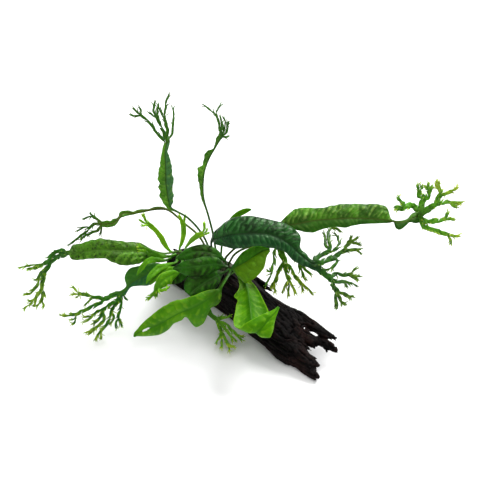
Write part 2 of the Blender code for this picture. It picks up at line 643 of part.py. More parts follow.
def rhizome_point(share):
    """A place on the rhizome's middle line, and the line's direction there."""
    route = [spot(*place) for place in RHIZOME_ROUTE]
    span = min(int(share * (len(route) - 1)), len(route) - 2)
    part = share * (len(route) - 1) - span
    return route[span].lerp(route[span + 1], part), (route[span + 1] - route[span]).normalized()


def directions(route):
    """The direction of a route at each of its places."""
    last = len(route) - 1
    return [(route[min(i + 1, last)] - route[max(i - 1, 0)]).normalized() for i in range(last + 1)]


def left_of(direction):
    """The side that is on the left, seen by the viewer, of a route that runs in a direction."""
    return TOWARDS_VIEWER.cross(direction).normalized()


# --- Fronds: an open sheet grown row by row, then given its thickness ----------------------------

def advance(bm, row, places):
    """Extrudes the open edges along a row of vertices and puts the new row at its places."""
    edges = [bm.edges.get(pair) for pair in zip(row, row[1:])]
    grown = bmesh.ops.extrude_edge_only(bm, edges=edges)["geom"]
    fresh = {item for item in grown if isinstance(item, bmesh.types.BMVert)}
    new_row = [
        next(edge.other_vert(vert) for edge in vert.link_edges if edge.other_vert(vert) in fresh)
        for vert in row
    ]
    for vert, place in zip(new_row, places):
        vert.co = place
    return new_row


def spread(left, right, count):
    return [left.lerp(right, i / (count - 1)) for i in range(count)]


def blade_row(left, middle, right, narrow=False):
    """Places across a blade: its margins, its midrib and the arched middle of each wide half."""
    if narrow:
        return [left, middle, right]
    along = (left - right).cross(TOWARDS_VIEWER)
    out = along.cross(left - right).normalized()
    half_left = (left + middle) / 2 + out * BLADE_ARCH * (left - middle).length
    half_right = (middle + right) / 2 + out * BLADE_ARCH * (middle - right).length
    return [left, half_left, middle, half_right, right]


def tips_of(strand):
    branches = strand[2:]
    return sum(tips_of(branch) for branch in branches) if branches else 1


def half_width(strand):
    """A strand is as wide as the tips that it carries ask for."""
    return TWIG_HALF_WIDTH * sqrt(tips_of(strand)) * MM


def cut_edge(bm, first, last, parts):
    """Cuts the edge between two vertices into equal parts, and gives the ends of the parts."""
    ends = []
    for remaining in range(parts, 1, -1):
        first = bmesh.utils.edge_split(bm.edges.get((first, last)), first, 1 / remaining)[1]
        ends.append(first)
    return ends + [last]


def fork(bm, row, came_from, hub, height, branches):
    """Shares a row's edges among the strands that leave it, in order from left to right.

    Yields each strand's share of the row, the room for its half width beside its neighbours, and
    the strand.
    """
    heading = Vector((hub[0] - came_from[0], came_from[1] - hub[1]))

    def turn(strand):
        first = strand[1][0]
        aim = Vector((first[0] - hub[0], hub[1] - first[1]))
        return atan2(heading.x * aim.y - heading.y * aim.x, heading.dot(aim))

    branches = sorted(branches, key=turn, reverse=True)
    parts = ceil(len(branches) / (len(row) - 1))
    row = row[:1] + [vert for pair in zip(row, row[1:]) for vert in cut_edge(bm, *pair, parts)]
    shares = [1] * len(branches)
    while sum(shares) < len(row) - 1:
        hungriest = max(range(len(branches)), key=lambda i: tips_of(branches[i]) / shares[i])
        shares[hungriest] += 1
    starts = [spot(*branch[1][0], height) for branch in branches]
    between = [(b - a).length for a, b in zip(starts, starts[1:])]
    start = 0
    for i, (strand, share) in enumerate(zip(branches, shares)):
        room = FORK_ROOM * min(between[max(i - 1, 0):i + 1])
        yield row[start:start + share + 1], room, strand
        start += share


def grow_strand(bm, row, hub, start_height, room, strand):
    """Grows one strand of a crest from a row, and the strands that it forks into."""
    end_height, spots, *branches = strand
    steps = [Vector(b) - Vector(a) for a, b in zip([hub[:2]] + spots, spots)]
    whole = sum(step.length for step in steps)
    route, gone = [(row[0].co + row[-1].co) / 2], 0
    for (column, line), step in zip(spots, steps):
        gone += step.length
        route.append(spot(column, line, start_height + (end_height - start_height) * gone / whole))
    wide = half_width(strand)
    if branches:
        end_wide = max(wide, FORK_SPREAD * sum(half_width(branch) for branch in branches))
    else:
        end_wide = TIP_HALF_WIDTH * MM
    for i, (place, direction) in enumerate(zip(route, directions(route))):
        if i == 0:
            continue
        half = end_wide if i == len(route) - 1 else wide
        if i == 1:
            half = min(half, room)
        reach = left_of(direction) * half
        row = advance(bm, row, spread(place + reach, place - reach, len(row)))
    came_from = spots[-2] if len(spots) > 1 else hub
    if branches:
        for part, room, branch in fork(bm, row, came_from, spots[-1], end_height, branches):
            grow_strand(bm, part, spots[-1], end_height, room, branch)


def start_stalk(bm, root, stalk, columns):
    """Begins a frond at the rhizome and grows its stalk. Returns its last row."""
    centre, tangent = rhizome_point(root)
    route = [spot(*place) for place in stalk]
    out = route[0] - centre
    out = (out - tangent * out.dot(tangent)).normalized()
    route.insert(0, centre + out * (RHIZOME_RADIUS + ROOT_GAP))
    row = None
    for place, direction in zip(route, directions(route)):
        reach = left_of(direction) * STALK_HALF_WIDTH * MM
        places = spread(place + reach, place - reach, columns)
        if row:
            row = advance(bm, row, places)
        else:
            row = [bm.verts.new(position) for position in places]
            for pair in zip(row, row[1:]):
                bm.edges.new(pair)
    return row


def grow_frond(name, frond, collection, material):
    bm = bmesh.new()
    stations = frond["blade"]
    narrow = max(station[3] + station[4] for station in stations) < NARROW_BLADE
    row = start_stalk(bm, frond["root"], frond["stalk"], 3 if narrow else 5)
    route = [spot(*station[:3]) for station in stations]
    before = spot(*frond["stalk"][-1])
    lean_left, lean_right = frond["lean"]
    for station, place, direction in zip(stations, route, directions([before] + route)[1:]):
        side = left_of(direction)
        left, right = station[3] * MM, station[4] * MM
        row = advance(bm, row, blade_row(
            place + side * left + TOWARDS_VIEWER * left * lean_left,
            place,
            place - side * right + TOWARDS_VIEWER * right * lean_right,
            narrow,
        ))
    hub = stations[-1][:2]
    if frond["crest"]:
        height = stations[-1][2]
        for part, room, strand in fork(bm, row, stations[-2][:2], hub, height, frond["crest"]):
            grow_strand(bm, part, hub, height, room, strand)
    return finish_frond(name, bm, collection, material)


def grow_folded(name, collection, material):
    bm = bmesh.new()
    row = start_stalk(bm, FOLDED_ROOT, FOLDED_STALK, 5)
    for right, middle, left in FOLDED_ROWS:
        row = advance(bm, row, blade_row(spot(*right), spot(*middle), spot(*left)))
    return finish_frond(name, bm, collection, material)


def finish_frond(name, bm, collection, material):
    frond = add_piece(name, bm, collection, material)
    wall = frond.modifiers.new("thickness", "SOLIDIFY")
    wall.thickness = FROND_THICKNESS
    wall.offset = 0
    return frond


# --- Rhizome ------------------------------------------------------------------------------------

def add_rhizome(collection, material):
    line = bpy.data.curves.new("rhizome", "CURVE")
    line.dimensions = "3D"
    line.bevel_depth = RHIZOME_RADIUS
    line.bevel_resolution = 2
    line.use_fill_caps = True
    route = line.splines.new("POLY")
    route.points.add(len(RHIZOME_ROUTE) - 1)
    for point, place in zip(route.points, RHIZOME_ROUTE):
        point.co = (*spot(*place), 1)
    line.materials.append(material)
    collection.objects.link(bpy.data.objects.new("rhizome", line))


# --- Driftwood: ridged sections joined along the grain, the underside cut flat --------------------

def wood_section(sides, roundness, section, shift):
    """A ridged ring of places round the log, squarer than an ellipse."""
    along, front, back, under, top = (value * MM for value in section)
    places = []
    for i in range(sides):
        angle = 2 * pi * i / sides
        ridge = 1 + RIDGE_DEPTH * (1 if i % 2 else -1) + RIDGE_DEPTH * sin(3 * angle + shift)
        across = copysign(abs(cos(angle)) ** roundness, cos(angle))
        upward = copysign(abs(sin(angle)) ** roundness, sin(angle))
        places.append(Vector((
            along,
            (front + back) / 2 + (back - front) / 2 * across * ridge,
            (under + top) / 2 + (top - under) / 2 * upward * ridge,
        )))
    return places


def add_wood(name, sections, sides, roundness, collection, material):
    bm = bmesh.new()
    ring = bmesh.ops.create_circle(bm, cap_ends=True, segments=sides, radius=1)["verts"]
    for vert, place in zip(ring, wood_section(sides, roundness, sections[0], 0)):
        vert.co = place
    for number, section in enumerate(sections[1:], 1):
        edges = [bm.edges.get((ring[i], ring[(i + 1) % sides])) for i in range(sides)]
        grown = bmesh.ops.extrude_edge_only(bm, edges=edges)["geom"]
        fresh = {item for item in grown if isinstance(item, bmesh.types.BMVert)}
        ring = [
            next(edge.other_vert(vert) for edge in vert.link_edges if edge.other_vert(vert) in fresh)
            for vert in ring
        ]
        for vert, place in zip(ring, wood_section(sides, roundness, section, number * 0.6)):
            vert.co = place
    bmesh.ops.contextual_create(bm, geom=ring)
    cut = bmesh.ops.bisect_plane(
        bm, geom=bm.verts[:] + bm.edges[:] + bm.faces[:], plane_co=(0, 0, 0), plane_no=(0, 0, 1),
        clear_inner=True,
    )["geom_cut"]
    rim = [item for item in cut if isinstance(item, bmesh.types.BMEdge)]
    if rim:
        bmesh.ops.contextual_create(bm, geom=rim)
    bmesh.ops.recalc_face_normals(bm, faces=bm.faces)
    bmesh.ops.transform(bm, matrix=Matrix.Rotation(LOG_TURN, 4, "Z"), verts=bm.verts)
    add_piece(name, bm, collection, material)


def frond_color(name):
    if name.startswith(BRIGHT_FRONDS):
        return "bright_leaf"
    return "dark_leaf" if name.startswith(DARK_FRONDS) else "green_leaf"


def main():
    clear_scene()
    collection = bpy.data.collections.new("java_fern_on_driftwood")
    bpy.context.scene.collection.children.link(collection)
    materials = {
        slot: plain_material(slot, color, 0.75 if slot == "driftwood" else 0.4)
        for slot, color in COLORS.items()
    }
    wood = materials["driftwood"]
    add_wood("driftwood_trunk", TRUNK_SECTIONS, LOG_SIDES, LOG_ROUNDNESS, collection, wood)
    for name, sections in PRONG_SECTIONS.items():
        add_wood(name, sections, PRONG_SIDES, PRONG_ROUNDNESS, collection, wood)
    add_rhizome(collection, materials["rhizome"])
    for name, frond in FRONDS.items():
        grow_frond(name, frond, collection, materials[frond_color(name)])
    grow_folded("frond_folded", collection, materials[frond_color("frond_folded")])


main()
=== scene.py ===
"""Java fern of the crested form on a splintered driftwood log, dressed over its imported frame.

The log lies on its flat underside, the rhizome creeps along its top and every frond grows from the
rhizome. Lengths are in metres, except where a comment gives them in mm.
"""

import random
from math import atan2, ceil, copysign, cos, exp, pi, radians, sin, sqrt

import bmesh
import bpy
from mathutils import Matrix, Vector, noise


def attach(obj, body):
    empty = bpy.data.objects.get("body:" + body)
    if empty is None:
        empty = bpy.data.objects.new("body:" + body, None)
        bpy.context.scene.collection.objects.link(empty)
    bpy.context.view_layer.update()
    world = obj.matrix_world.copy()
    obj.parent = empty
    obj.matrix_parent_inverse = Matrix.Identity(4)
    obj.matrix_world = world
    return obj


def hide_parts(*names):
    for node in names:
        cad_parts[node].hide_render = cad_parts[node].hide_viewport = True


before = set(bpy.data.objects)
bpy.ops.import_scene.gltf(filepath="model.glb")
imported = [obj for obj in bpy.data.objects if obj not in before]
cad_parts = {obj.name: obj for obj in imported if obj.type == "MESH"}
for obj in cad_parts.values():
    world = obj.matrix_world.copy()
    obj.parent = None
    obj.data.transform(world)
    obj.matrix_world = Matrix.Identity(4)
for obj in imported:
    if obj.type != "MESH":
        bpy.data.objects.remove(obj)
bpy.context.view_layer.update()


# --- The plant's layout and the camera ------------------------------------------------------------
# The plant is laid out as it is seen from the front and 40 degrees above. A spot is a column and a
# row of a picture of 480 by 480 steps, one step being 0.65 mm on the plant, with its height above
# the floor in mm. The camera looks along the same line, so a spot shows at its column and row.

MM = 0.001
LAYOUT_STEP = 0.65 * MM
LAYOUT_WIDTH = 480
LAYOUT_MIDDLE = LAYOUT_WIDTH / 2
ORIGIN_COLUMN, ORIGIN_ROW = 263, 328
VIEW_ELEVATION = radians(40)
VIEW_DISTANCE = 1.3
FILM_WIDTH = 36                 # mm
FAR_LIMIT = 20
TO_RIGHT = Vector((1, 0, 0))
TO_TOP = Vector((0, sin(VIEW_ELEVATION), cos(VIEW_ELEVATION)))
TOWARDS_VIEWER = Vector((0, -cos(VIEW_ELEVATION), sin(VIEW_ELEVATION)))
PICTURE_MIDDLE = (
    TO_RIGHT * (LAYOUT_MIDDLE - ORIGIN_COLUMN) * LAYOUT_STEP
    + TO_TOP * (ORIGIN_ROW - LAYOUT_MIDDLE) * LAYOUT_STEP
)


def spot(column, row, height):
    """The place seen at a column and row of the layout, at a height in mm above the floor."""
    z = height * MM
    lift = (ORIGIN_ROW - LAYOUT_MIDDLE) * LAYOUT_STEP
    up = (LAYOUT_MIDDLE - row) * LAYOUT_STEP
    slope = sin(VIEW_ELEVATION) - up * cos(VIEW_ELEVATION) / VIEW_DISTANCE
    towards = (z - (up + lift) * cos(VIEW_ELEVATION)) / slope
    nearer = 1 - towards / VIEW_DISTANCE
    middle = (LAYOUT_MIDDLE - ORIGIN_COLUMN) * LAYOUT_STEP
    across = (column - LAYOUT_MIDDLE) * LAYOUT_STEP * nearer + middle
    up_view = up * nearer + lift
    return Vector((across, up_view * sin(VIEW_ELEVATION) - towards * cos(VIEW_ELEVATION), z))


lens = bpy.data.cameras.new("camera")
lens.sensor_width = FILM_WIDTH
lens.lens = FILM_WIDTH * VIEW_DISTANCE / (LAYOUT_WIDTH * LAYOUT_STEP)
lens.clip_end = FAR_LIMIT
camera = bpy.data.objects.new("camera", lens)
camera.matrix_world = Matrix.Translation(PICTURE_MIDDLE + TOWARDS_VIEWER * VIEW_DISTANCE) @ Matrix(
    (TO_RIGHT, TO_TOP, TOWARDS_VIEWER)
).transposed().to_4x4()
bpy.context.scene.collection.objects.link(camera)
bpy.context.scene.camera = camera
bpy.context.scene.view_settings.view_transform = "Standard"


# --- Studio ---------------------------------------------------------------------------------------
# A plain pale sheet to stand on, in a dim room with a soft box overhead, and one broad lamp high at
# the back right, which lays the soft shadow in front of the log.

FLOOR_SIZE = 8
ROOM_STRENGTH = 0.2
SOFT_BOX_STRENGTH = 1.8
SOFT_BOX_EDGE = (0.52, 0.96)    # heights on a sphere of radius 1 round the plant
KEY_LIGHT_ENERGY = 4.1
KEY_LIGHT_SPREAD = radians(30)
KEY_LIGHT_FROM = Vector((0.62, 0.85, 0.9))


def linear(code):
    """The linear colour of an sRGB hex code such as "#2c6b14"."""
    parts = (int(code[i:i + 2], 16) / 255 for i in (1, 3, 5))
    return (*(c / 12.92 if c <= 0.04045 else ((c + 0.055) / 1.055) ** 2.4 for c in parts), 1)


def add_node(tree, kind, settings=None, inputs=None):
    """Adds a node with its settings, and its inputs set or linked."""
    node = tree.nodes.new(kind)
    for name, value in (settings or {}).items():
        setattr(node, name, value)
    for name, value in (inputs or {}).items():
        if isinstance(value, bpy.types.NodeSocket):
            tree.links.new(value, node.inputs[name])
        else:
            node.inputs[name].default_value = value
    return node


def start_material(name):
    """A new material, its node tree and its Principled shader."""
    material = bpy.data.materials.new(name)
    material.use_nodes = True
    return material, material.node_tree, material.node_tree.nodes["Principled BSDF"]


def add_object(name, bm):
    """Makes a mesh an object."""
    mesh = bpy.data.meshes.new(name)
    bm.to_mesh(mesh)
    bm.free()
    made = bpy.data.objects.new(name, mesh)
    bpy.context.scene.collection.objects.link(made)
    return made


def add_piece(name, bm, material):
    """Makes a finished mesh a smooth object with its material."""
    piece = add_object(name, bm)
    piece.data.materials.append(material)
    piece.data.shade_smooth()
    return piece


# Matt photographer's paper, uncoated, so it scatters light and throws no glare
paper, _, shader = start_material("matt_backdrop_paper")
shader.inputs["Base Color"].default_value = linear("#f6f6f6")
shader.inputs["Roughness"].default_value = 0.9
shader.inputs["Specular IOR Level"].default_value = 0.1
bm = bmesh.new()
bmesh.ops.create_grid(bm, size=FLOOR_SIZE / 2)
add_piece("floor", bm, paper)

studio = bpy.data.worlds.new("studio")
bpy.context.scene.world = studio
studio.use_nodes = True
tree = studio.node_tree
direction = add_node(tree, "ShaderNodeTexCoord").outputs["Generated"]
upward = add_node(tree, "ShaderNodeSeparateXYZ", inputs={"Vector": direction}).outputs["Z"]
brightness = add_node(tree, "ShaderNodeMapRange", {"interpolation_type": "SMOOTHSTEP"}, {
    "Value": upward, "From Min": SOFT_BOX_EDGE[0], "From Max": SOFT_BOX_EDGE[1],
    "To Min": ROOM_STRENGTH, "To Max": SOFT_BOX_STRENGTH,
})
tree.nodes["Background"].inputs["Color"].default_value = (1, 1, 1, 1)
tree.links.new(brightness.outputs["Result"], tree.nodes["Background"].inputs["Strength"])

key = bpy.data.lights.new("key_light", "SUN")
key.energy = KEY_LIGHT_ENERGY
key.angle = KEY_LIGHT_SPREAD
key_light = bpy.data.objects.new("key_light", key)
key_light.rotation_euler = KEY_LIGHT_FROM.to_track_quat("Z", "Y").to_euler()
bpy.context.scene.collection.objects.link(key_light)


# --- Driftwood ------------------------------------------------------------------------------------
# A water-worn length of old wood, nearly black, its grain standing in ridges and its right end
# split into three ragged prongs. Trunk and prongs are solids drawn through their sections, with
# long splinters laid along them. They are grown together into one skin, cracks are cut through it,
# the grain is raised on it, and the underside is sawn flat.

LOG_ANGLE = radians(-44)
LOG_TURN = Matrix.Rotation(LOG_ANGLE, 4, "Z")
SIGHT = LOG_TURN.inverted().to_3x3() @ TOWARDS_VIEWER
WOOD_ROUNDNESS = 0.75           # of a section: 1 is an ellipse, less is squarer
WOOD_VOXEL = 0.5 * MM
TRUNK_SIDES = 40
PRONG_SIDES = 20
SPLINTER_SIDES = 6
GRAIN_LENGTH = 20 * MM
GRAIN_WIDTH = 1.1 * MM
RED_PATCH = 16.13 * MM          # size of the redder patches of the wood

# In mm along the log: place, front side, back side, underside and top
TRUNK_SECTIONS = [
    (-80.5, -7, 2, 9, 17), (-79, -9.5, 4, 6, 19.5), (-76, -12.6, 6.6, 0, 22), (-66, -11.8, 9.6, -3, 25),
    (-50, -9.4, 12.6, -3, 28), (-36, -9.4, 13.6, -3, 29), (-22, -10.4, 13.4, -3, 28),
    (-12, -11.6, 12.2, -3, 27), (-6, -12.4, 11.4, -3, 25.8), (0, -13.2, 11.2, -3, 24.6),
    (10, -13.6, 12.6, -3, 23), (20, -15.2, 14.4, -3, 20.4), (28, -15.6, 14.2, -2.4, 17.6),
    (33, -11, 9, 0, 14.4), (36.6, -4, 3, 4, 12.6),
]
PRONGS = {
    "lower": [
        (16, -13, 0, -1, 12), (26, -16.2, -1, -2.4, 14.6), (34.6, -16.2, -2, -2, 14),
        (36.4, -14.4, -2.2, -1.8, 13.4), (42, -12.9, -2.8, -1.5, 11.8), (46, -13, -3.9, -1.1, 10.4),
        (49.6, -13.1, -4.4, -0.6, 9), (52, -12.6, -5.6, 0.6, 7.4),
    ],
    "lower outer tip": [
        (40, -13, -7, -1, 7), (50, -13.3, -8.6, -0.4, 6.4), (54.6, -13.6, -9.2, 0.8, 5.4),
        (57.4, -13, -10.2, 1.6, 4.6), (59, -12, -11, 2.4, 3.6),
    ],
    "lower inner tip": [
        (38, -9, -4, 3, 10), (48, -8.2, -4.2, 4, 9), (51.8, -8, -4.6, 4.2, 7.6), (53.6, -7, -5, 4.8, 6.2),
    ],
    "middle": [
        (14, -2, 8, 4, 15), (26, -0.6, 8.6, 6.6, 15.8), (34, 0.4, 8.8, 8.2, 14.8), (38, 0.4, 9, 8, 14),
        (41.2, 0.7, 9.2, 7.8, 13.4), (42.6, 2.4, 9.4, 8, 13), (43.8, 4.6, 9.8, 8.4, 12.8),
        (46, 6, 10.6, 8, 12.6), (49, 6.4, 11.3, 7.2, 12.2), (51, 7.8, 11.5, 7.2, 11.5),
        (53.2, 8.9, 11.4, 7.2, 10.6), (55.4, 9.7, 10.5, 7.6, 9),
    ],
    "upper": [
        (8, 8, 13, 8, 18), (20, 8.6, 15.6, 10, 17.8), (30, 9, 15.7, 11, 16.8), (38, 9.6, 15.8, 11.6, 15.6),
        (42, 10.6, 16, 11.6, 14.9), (45.4, 11, 16.2, 11.4, 14.2), (46.6, 12.4, 16.4, 11.5, 13.9),
        (48.2, 14.2, 16.5, 11.5, 13.4), (49.8, 15.2, 16.1, 12, 12.9),
    ],
}

# Splinters, in mm: where each begins (along, across, up), where its point is, and its half width
SPLINTERS = [
    ((-30, 11, 22), (-1.8, 12.6, 22), 1.8), ((-34, 9, 24.6), (-6, 12.6, 24.4), 1.6),
    ((-60, 0, 15), (-83.5, 1.2, 17.6), 2.2), ((-60, -4, 14), (-81, -6.5, 19), 2.0),
    ((38, 14, 13), (50.8, 14.6, 11.4), 0.7), ((34, 12.6, 13), (48.8, 12.4, 12), 0.8),
    ((34, 11, 12.6), (47.4, 10.4, 11.4), 0.8), ((36, 3, 10), (43.6, 2.2, 8.4), 1.0),
    ((40, 8, 9), (50.6, 6.4, 7), 0.9), ((44, 10, 9), (56.8, 10.4, 7.8), 0.8),
    ((34, -3, 12), (44.4, -2, 9.8), 0.9), ((40, -5, 8), (50.4, -3.6, 8), 0.9),
    ((44, -7, 6), (55, -6, 5.4), 0.9), ((44, -9, 5), (55.6, -9, 4.2), 0.9),
    ((48, -12, 3), (60, -11.4, 3.4), 0.8), ((46, -12, 1), (58.6, -13, 1.6), 0.8),
    ((24, -14, 2), (37.6, -15, 1.2), 1.1), ((30, -12, 10), (42, -12.6, 6), 1.0),
]
SPLINTER_FORM = [(0, 0.3), (0.2, 0.8), (0.45, 1), (0.65, 0.85), (0.85, 0.5), (1, 0.12)]
LOOSE_SPLINTERS = 46

# The light shows through these cracks, in mm: where (along, across, up), half length, half width
CRACKS = [((35.6, 9, 12), 1.9, 0.34), ((28, 9, 12), 0.5, 0.3)]
CRACK_DEPTH = 44 * MM
CRACK_MIDDLE = -4 * MM          # of the wedge that cuts a crack: below zero is behind its place


def flow(points, step, heading=None):
    """Smooth values through given points, about a step apart; each begins with its place."""
    gaps = [max((Vector(b[:3]) - Vector(a[:3])).length, 1e-6) for a, b in zip(points, points[1:])]
    last = len(points) - 1

    def slope(i):
        if i == 0 and heading:
            return [*heading] + [0] * (len(points[0]) - 3)
        before, after = points[max(i - 1, 0)], points[min(i + 1, last)]
        length = sum(gaps[max(i - 1, 0):min(i + 1, last)])
        return [(b - a) / length for a, b in zip(before, after)]

    rows = [list(points[0])]
    for i, gap in enumerate(gaps):
        count = max(1, round(gap / step))
        starts, ends = slope(i), slope(i + 1)
        for k in range(1, count + 1):
            t = k / count
            rows.append([
                (2 * t**3 - 3 * t**2 + 1) * a + (t**3 - 2 * t**2 + t) * gap * da
                + (3 * t**2 - 2 * t**3) * b + (t**3 - t**2) * gap * db
                for a, b, da, db in zip(points[i], points[i + 1], starts, ends)
            ])
    return rows


def ease(value, low, high):
    """A smooth step from 0 at the low value to 1 at the high one."""
    t = min(1, max(0, (value - low) / (high - low)))
    return t * t * (3 - 2 * t)


def extrude_row(bm, row, following):
    """Extrudes the edges from each vertex of a row to the one following it, and gives the new row."""
    edges = [bm.edges.get(pair) for pair in zip(row, following)]
    grown = bmesh.ops.extrude_edge_only(bm, edges=edges)["geom"]
    fresh = {item for item in grown if isinstance(item, bmesh.types.BMVert)}
    return [
        next(edge.other_vert(vert) for edge in vert.link_edges if edge.other_vert(vert) in fresh)
        for vert in row
    ]


def add_tube(bm, rings):
    """A closed solid through rings of places."""
    ring = bmesh.ops.create_circle(bm, cap_ends=True, segments=len(rings[0]), radius=1)["verts"]
    for i, places in enumerate(rings):
        if i:
            ring = extrude_row(bm, ring, ring[1:] + ring[:1])
        for vert, place in zip(ring, places):
            vert.co = place
    bmesh.ops.contextual_create(bm, geom=ring)


def section_ring(sides, along, front, back, under, top):
    """Places round the log at one of its sections, given in mm."""
    places = []
    for i in range(sides):
        c, s = cos(2 * pi * i / sides), sin(2 * pi * i / sides)
        places.append(Vector((
            along,
            (front + back) / 2 + (back - front) / 2 * copysign(abs(c) ** WOOD_ROUNDNESS, c),
            (under + top) / 2 + (top - under) / 2 * copysign(abs(s) ** WOOD_ROUNDNESS, s),
        )) * MM)
    return places


def add_splinter(bm, start, point, half):
    """A thin rod of wood that thickens from inside the log and runs out to a point; in mm."""
    rings = []
    for share, thick in SPLINTER_FORM:
        along, across, upward = Vector(start).lerp(Vector(point), share)
        size = half * thick
        rings.append(section_ring(
            SPLINTER_SIDES, along, across - size, across + size, upward - size, upward + size,
        ))
    add_tube(bm, rings)


def grain_height(place):
    """How far the weathered grain stands out, in mm, and how high on a ridge it is (0 to 1).

    The flutes, clefts, seams and threads of the grain run along the log and get finer in that
    order; chips are missing bits.
    """
    along, across, upward = place / MM
    bend = 1.2 * noise.noise(Vector((along / 40, across / 14, upward / 14)))
    across, upward = across + bend, upward - bend
    flute = noise.noise(Vector((along / 75, across / 4.4, upward / 4.4)))
    cleft = abs(noise.noise(Vector((along / 60, across / 2.6, upward / 2.6 + 40))))
    seam = abs(noise.noise(Vector((along / 42, across / 1.3 + 20, upward / 1.3))))
    thread = noise.noise(Vector((along / 9, across / 0.9, upward / 0.9)))
    chip = min(0, noise.noise(Vector((along / 6, across / 3, upward / 3))) + 0.3)
    cut = 1 - ease(cleft, 0, 0.13)
    scratch = 1 - ease(seam, 0, 0.16)
    height = 0.7 * flute - 1.3 * cut - 0.6 * scratch + 0.16 * thread + 0.6 * chip + 0.5
    return height, (1 - cut) * (1 - 0.7 * scratch) * (0.5 + 0.5 * flute + 0.3 * thread)


bm = bmesh.new()
add_tube(bm, [section_ring(TRUNK_SIDES, *section) for section in TRUNK_SECTIONS])
for sections in PRONGS.values():
    add_tube(bm, [section_ring(PRONG_SIDES, *section) for section in sections])
for splinter in SPLINTERS:
    add_splinter(bm, *splinter)

# The loose splinters lie round the trunk, each from inside one section to the next but one
chance = random.Random(11)
for _ in range(LOOSE_SPLINTERS):
    i = chance.randint(2, len(TRUNK_SECTIONS) - 4)
    turn = chance.uniform(-0.3, 1.2) * pi
    start, point = (
        Vector((
            section[0],
            (section[1] + section[2]) / 2 + (section[2] - section[1]) / 2 * reach * cos(turn),
            (section[3] + section[4]) / 2 + (section[4] - section[3]) / 2 * reach * sin(turn),
        ))
        for section, reach in ((TRUNK_SECTIONS[i], 0.86), (TRUNK_SECTIONS[i + 2], 1.0))
    )
    add_splinter(bm, start, point, chance.uniform(0.8, 1.7))
bmesh.ops.recalc_face_normals(bm, faces=bm.faces)
rough_log = add_object("rough_log", bm)
skin = rough_log.modifiers.new("one skin", "REMESH")
skin.mode = "VOXEL"
skin.voxel_size = WOOD_VOXEL

# Each crack is a wedge along the line of sight, which opens wider towards the back
bm = bmesh.new()
grain_seen = (Vector((1, 0, 0)) - SIGHT * SIGHT.x).normalized()
across_seen = SIGHT.cross(grain_seen)
for place, half_length, half_width in CRACKS:
    wedge = bmesh.ops.create_cone(
        bm, cap_ends=True, segments=8, radius1=3 * MM, radius2=0.7 * MM, depth=CRACK_DEPTH,
    )["verts"]
    turned = Matrix((grain_seen * half_length, across_seen * half_width, SIGHT)).transposed().to_4x4()
    middle = Matrix.Translation(Vector(place) * MM + SIGHT * CRACK_MIDDLE)
    bmesh.ops.transform(bm, matrix=middle @ turned, verts=wedge)
crack_wedges = add_object("crack_wedges", bm)
cracked = rough_log.modifiers.new("cracks", "BOOLEAN")
cracked.operation = "DIFFERENCE"
cracked.object = crack_wedges
cracked.solver = "MANIFOLD"
bm = bmesh.new()
bm.from_object(rough_log, bpy.context.evaluated_depsgraph_get())
bpy.data.objects.remove(rough_log)
bpy.data.objects.remove(crack_wedges)
bm.normal_update()

# The raised grain fades out beside a crack, so as not to close it
ridge_mark = bm.verts.layers.float.new("ridge")
for vert in bm.verts:
    height, ridge = grain_height(vert.co)
    for place, half_length, half_width in CRACKS:
        away = (vert.co - Vector(place) * MM) / MM
        away -= SIGHT * away.dot(SIGHT)
        beside = max(abs(away.dot(grain_seen)) - half_length, abs(away.dot(across_seen)) - half_width)
        height = min(height, height * ease(beside, 0.3, 1.8))
    vert.co += vert.normal * height * MM
    vert[ridge_mark] = ridge
bmesh.ops.smooth_vert(
    bm, verts=bm.verts, factor=0.25, use_axis_x=True, use_axis_y=True, use_axis_z=True,
)
cut = bmesh.ops.bisect_plane(
    bm, geom=bm.verts[:] + bm.edges[:] + bm.faces[:], plane_co=(0, 0, 0), plane_no=(0, 0, 1),
    clear_inner=True,
)["geom_cut"]
bmesh.ops.holes_fill(bm, edges=[item for item in cut if isinstance(item, bmesh.types.BMEdge)])
bmesh.ops.transform(bm, matrix=LOG_TURN, verts=bm.verts)

# Old bog-dark wood, worn by water: soft wood is gone between the hard rings. Its ridges are a dull
# red-brown, darker along the grain's own streaks, and the clefts are nearly black with painted shade,
# with a damp sheen here and there.
wood, tree, shader = start_material("water_worn_dark_wood")
place = add_node(tree, "ShaderNodeTexCoord").outputs["Object"]
turned = add_node(tree, "ShaderNodeMapping", inputs={"Vector": place, "Rotation": (0, 0, -LOG_ANGLE)})
stretched = add_node(tree, "ShaderNodeMapping", inputs={
    "Vector": turned.outputs["Vector"], "Scale": (1 / GRAIN_LENGTH, 1 / GRAIN_WIDTH, 1 / GRAIN_WIDTH),
})
grain = add_node(tree, "ShaderNodeTexNoise", inputs={
    "Vector": stretched.outputs["Vector"], "Scale": 1.0, "Detail": 5.0, "Roughness": 0.6,
})
patches = add_node(tree, "ShaderNodeTexNoise", inputs={
    "Vector": place, "Scale": 1 / RED_PATCH, "Detail": 3.0,
})
ridge = add_node(tree, "ShaderNodeAttribute", {"attribute_name": "ridge"})
# The tone follows the grain and the height on a ridge: nearly black in the clefts, as painted shade
height = add_node(tree, "ShaderNodeMath", {"operation": "ADD"}, {
    0: grain.outputs["Fac"], 1: ridge.outputs["Fac"],
})
cleft_shade_and_grain = add_node(tree, "ShaderNodeMapRange", {"interpolation_type": "SMOOTHSTEP"}, {
    "Value": height.outputs["Value"], "From Min": 0.6, "From Max": 1.35,
})
redness = add_node(tree, "ShaderNodeMapRange", inputs={
    "Value": patches.outputs["Fac"], "From Min": 0.42, "From Max": 0.62,
})
ridge_tone = add_node(tree, "ShaderNodeMix", {"data_type": "RGBA"}, {
    0: redness.outputs["Result"], 6: linear("#110c0b"), 7: linear("#241310"),
})
tone = add_node(tree, "ShaderNodeMix", {"data_type": "RGBA"}, {
    0: cleft_shade_and_grain.outputs["Result"], 6: linear("#020101"), 7: ridge_tone.outputs[2],
})
tree.links.new(tone.outputs[2], shader.inputs["Base Color"])
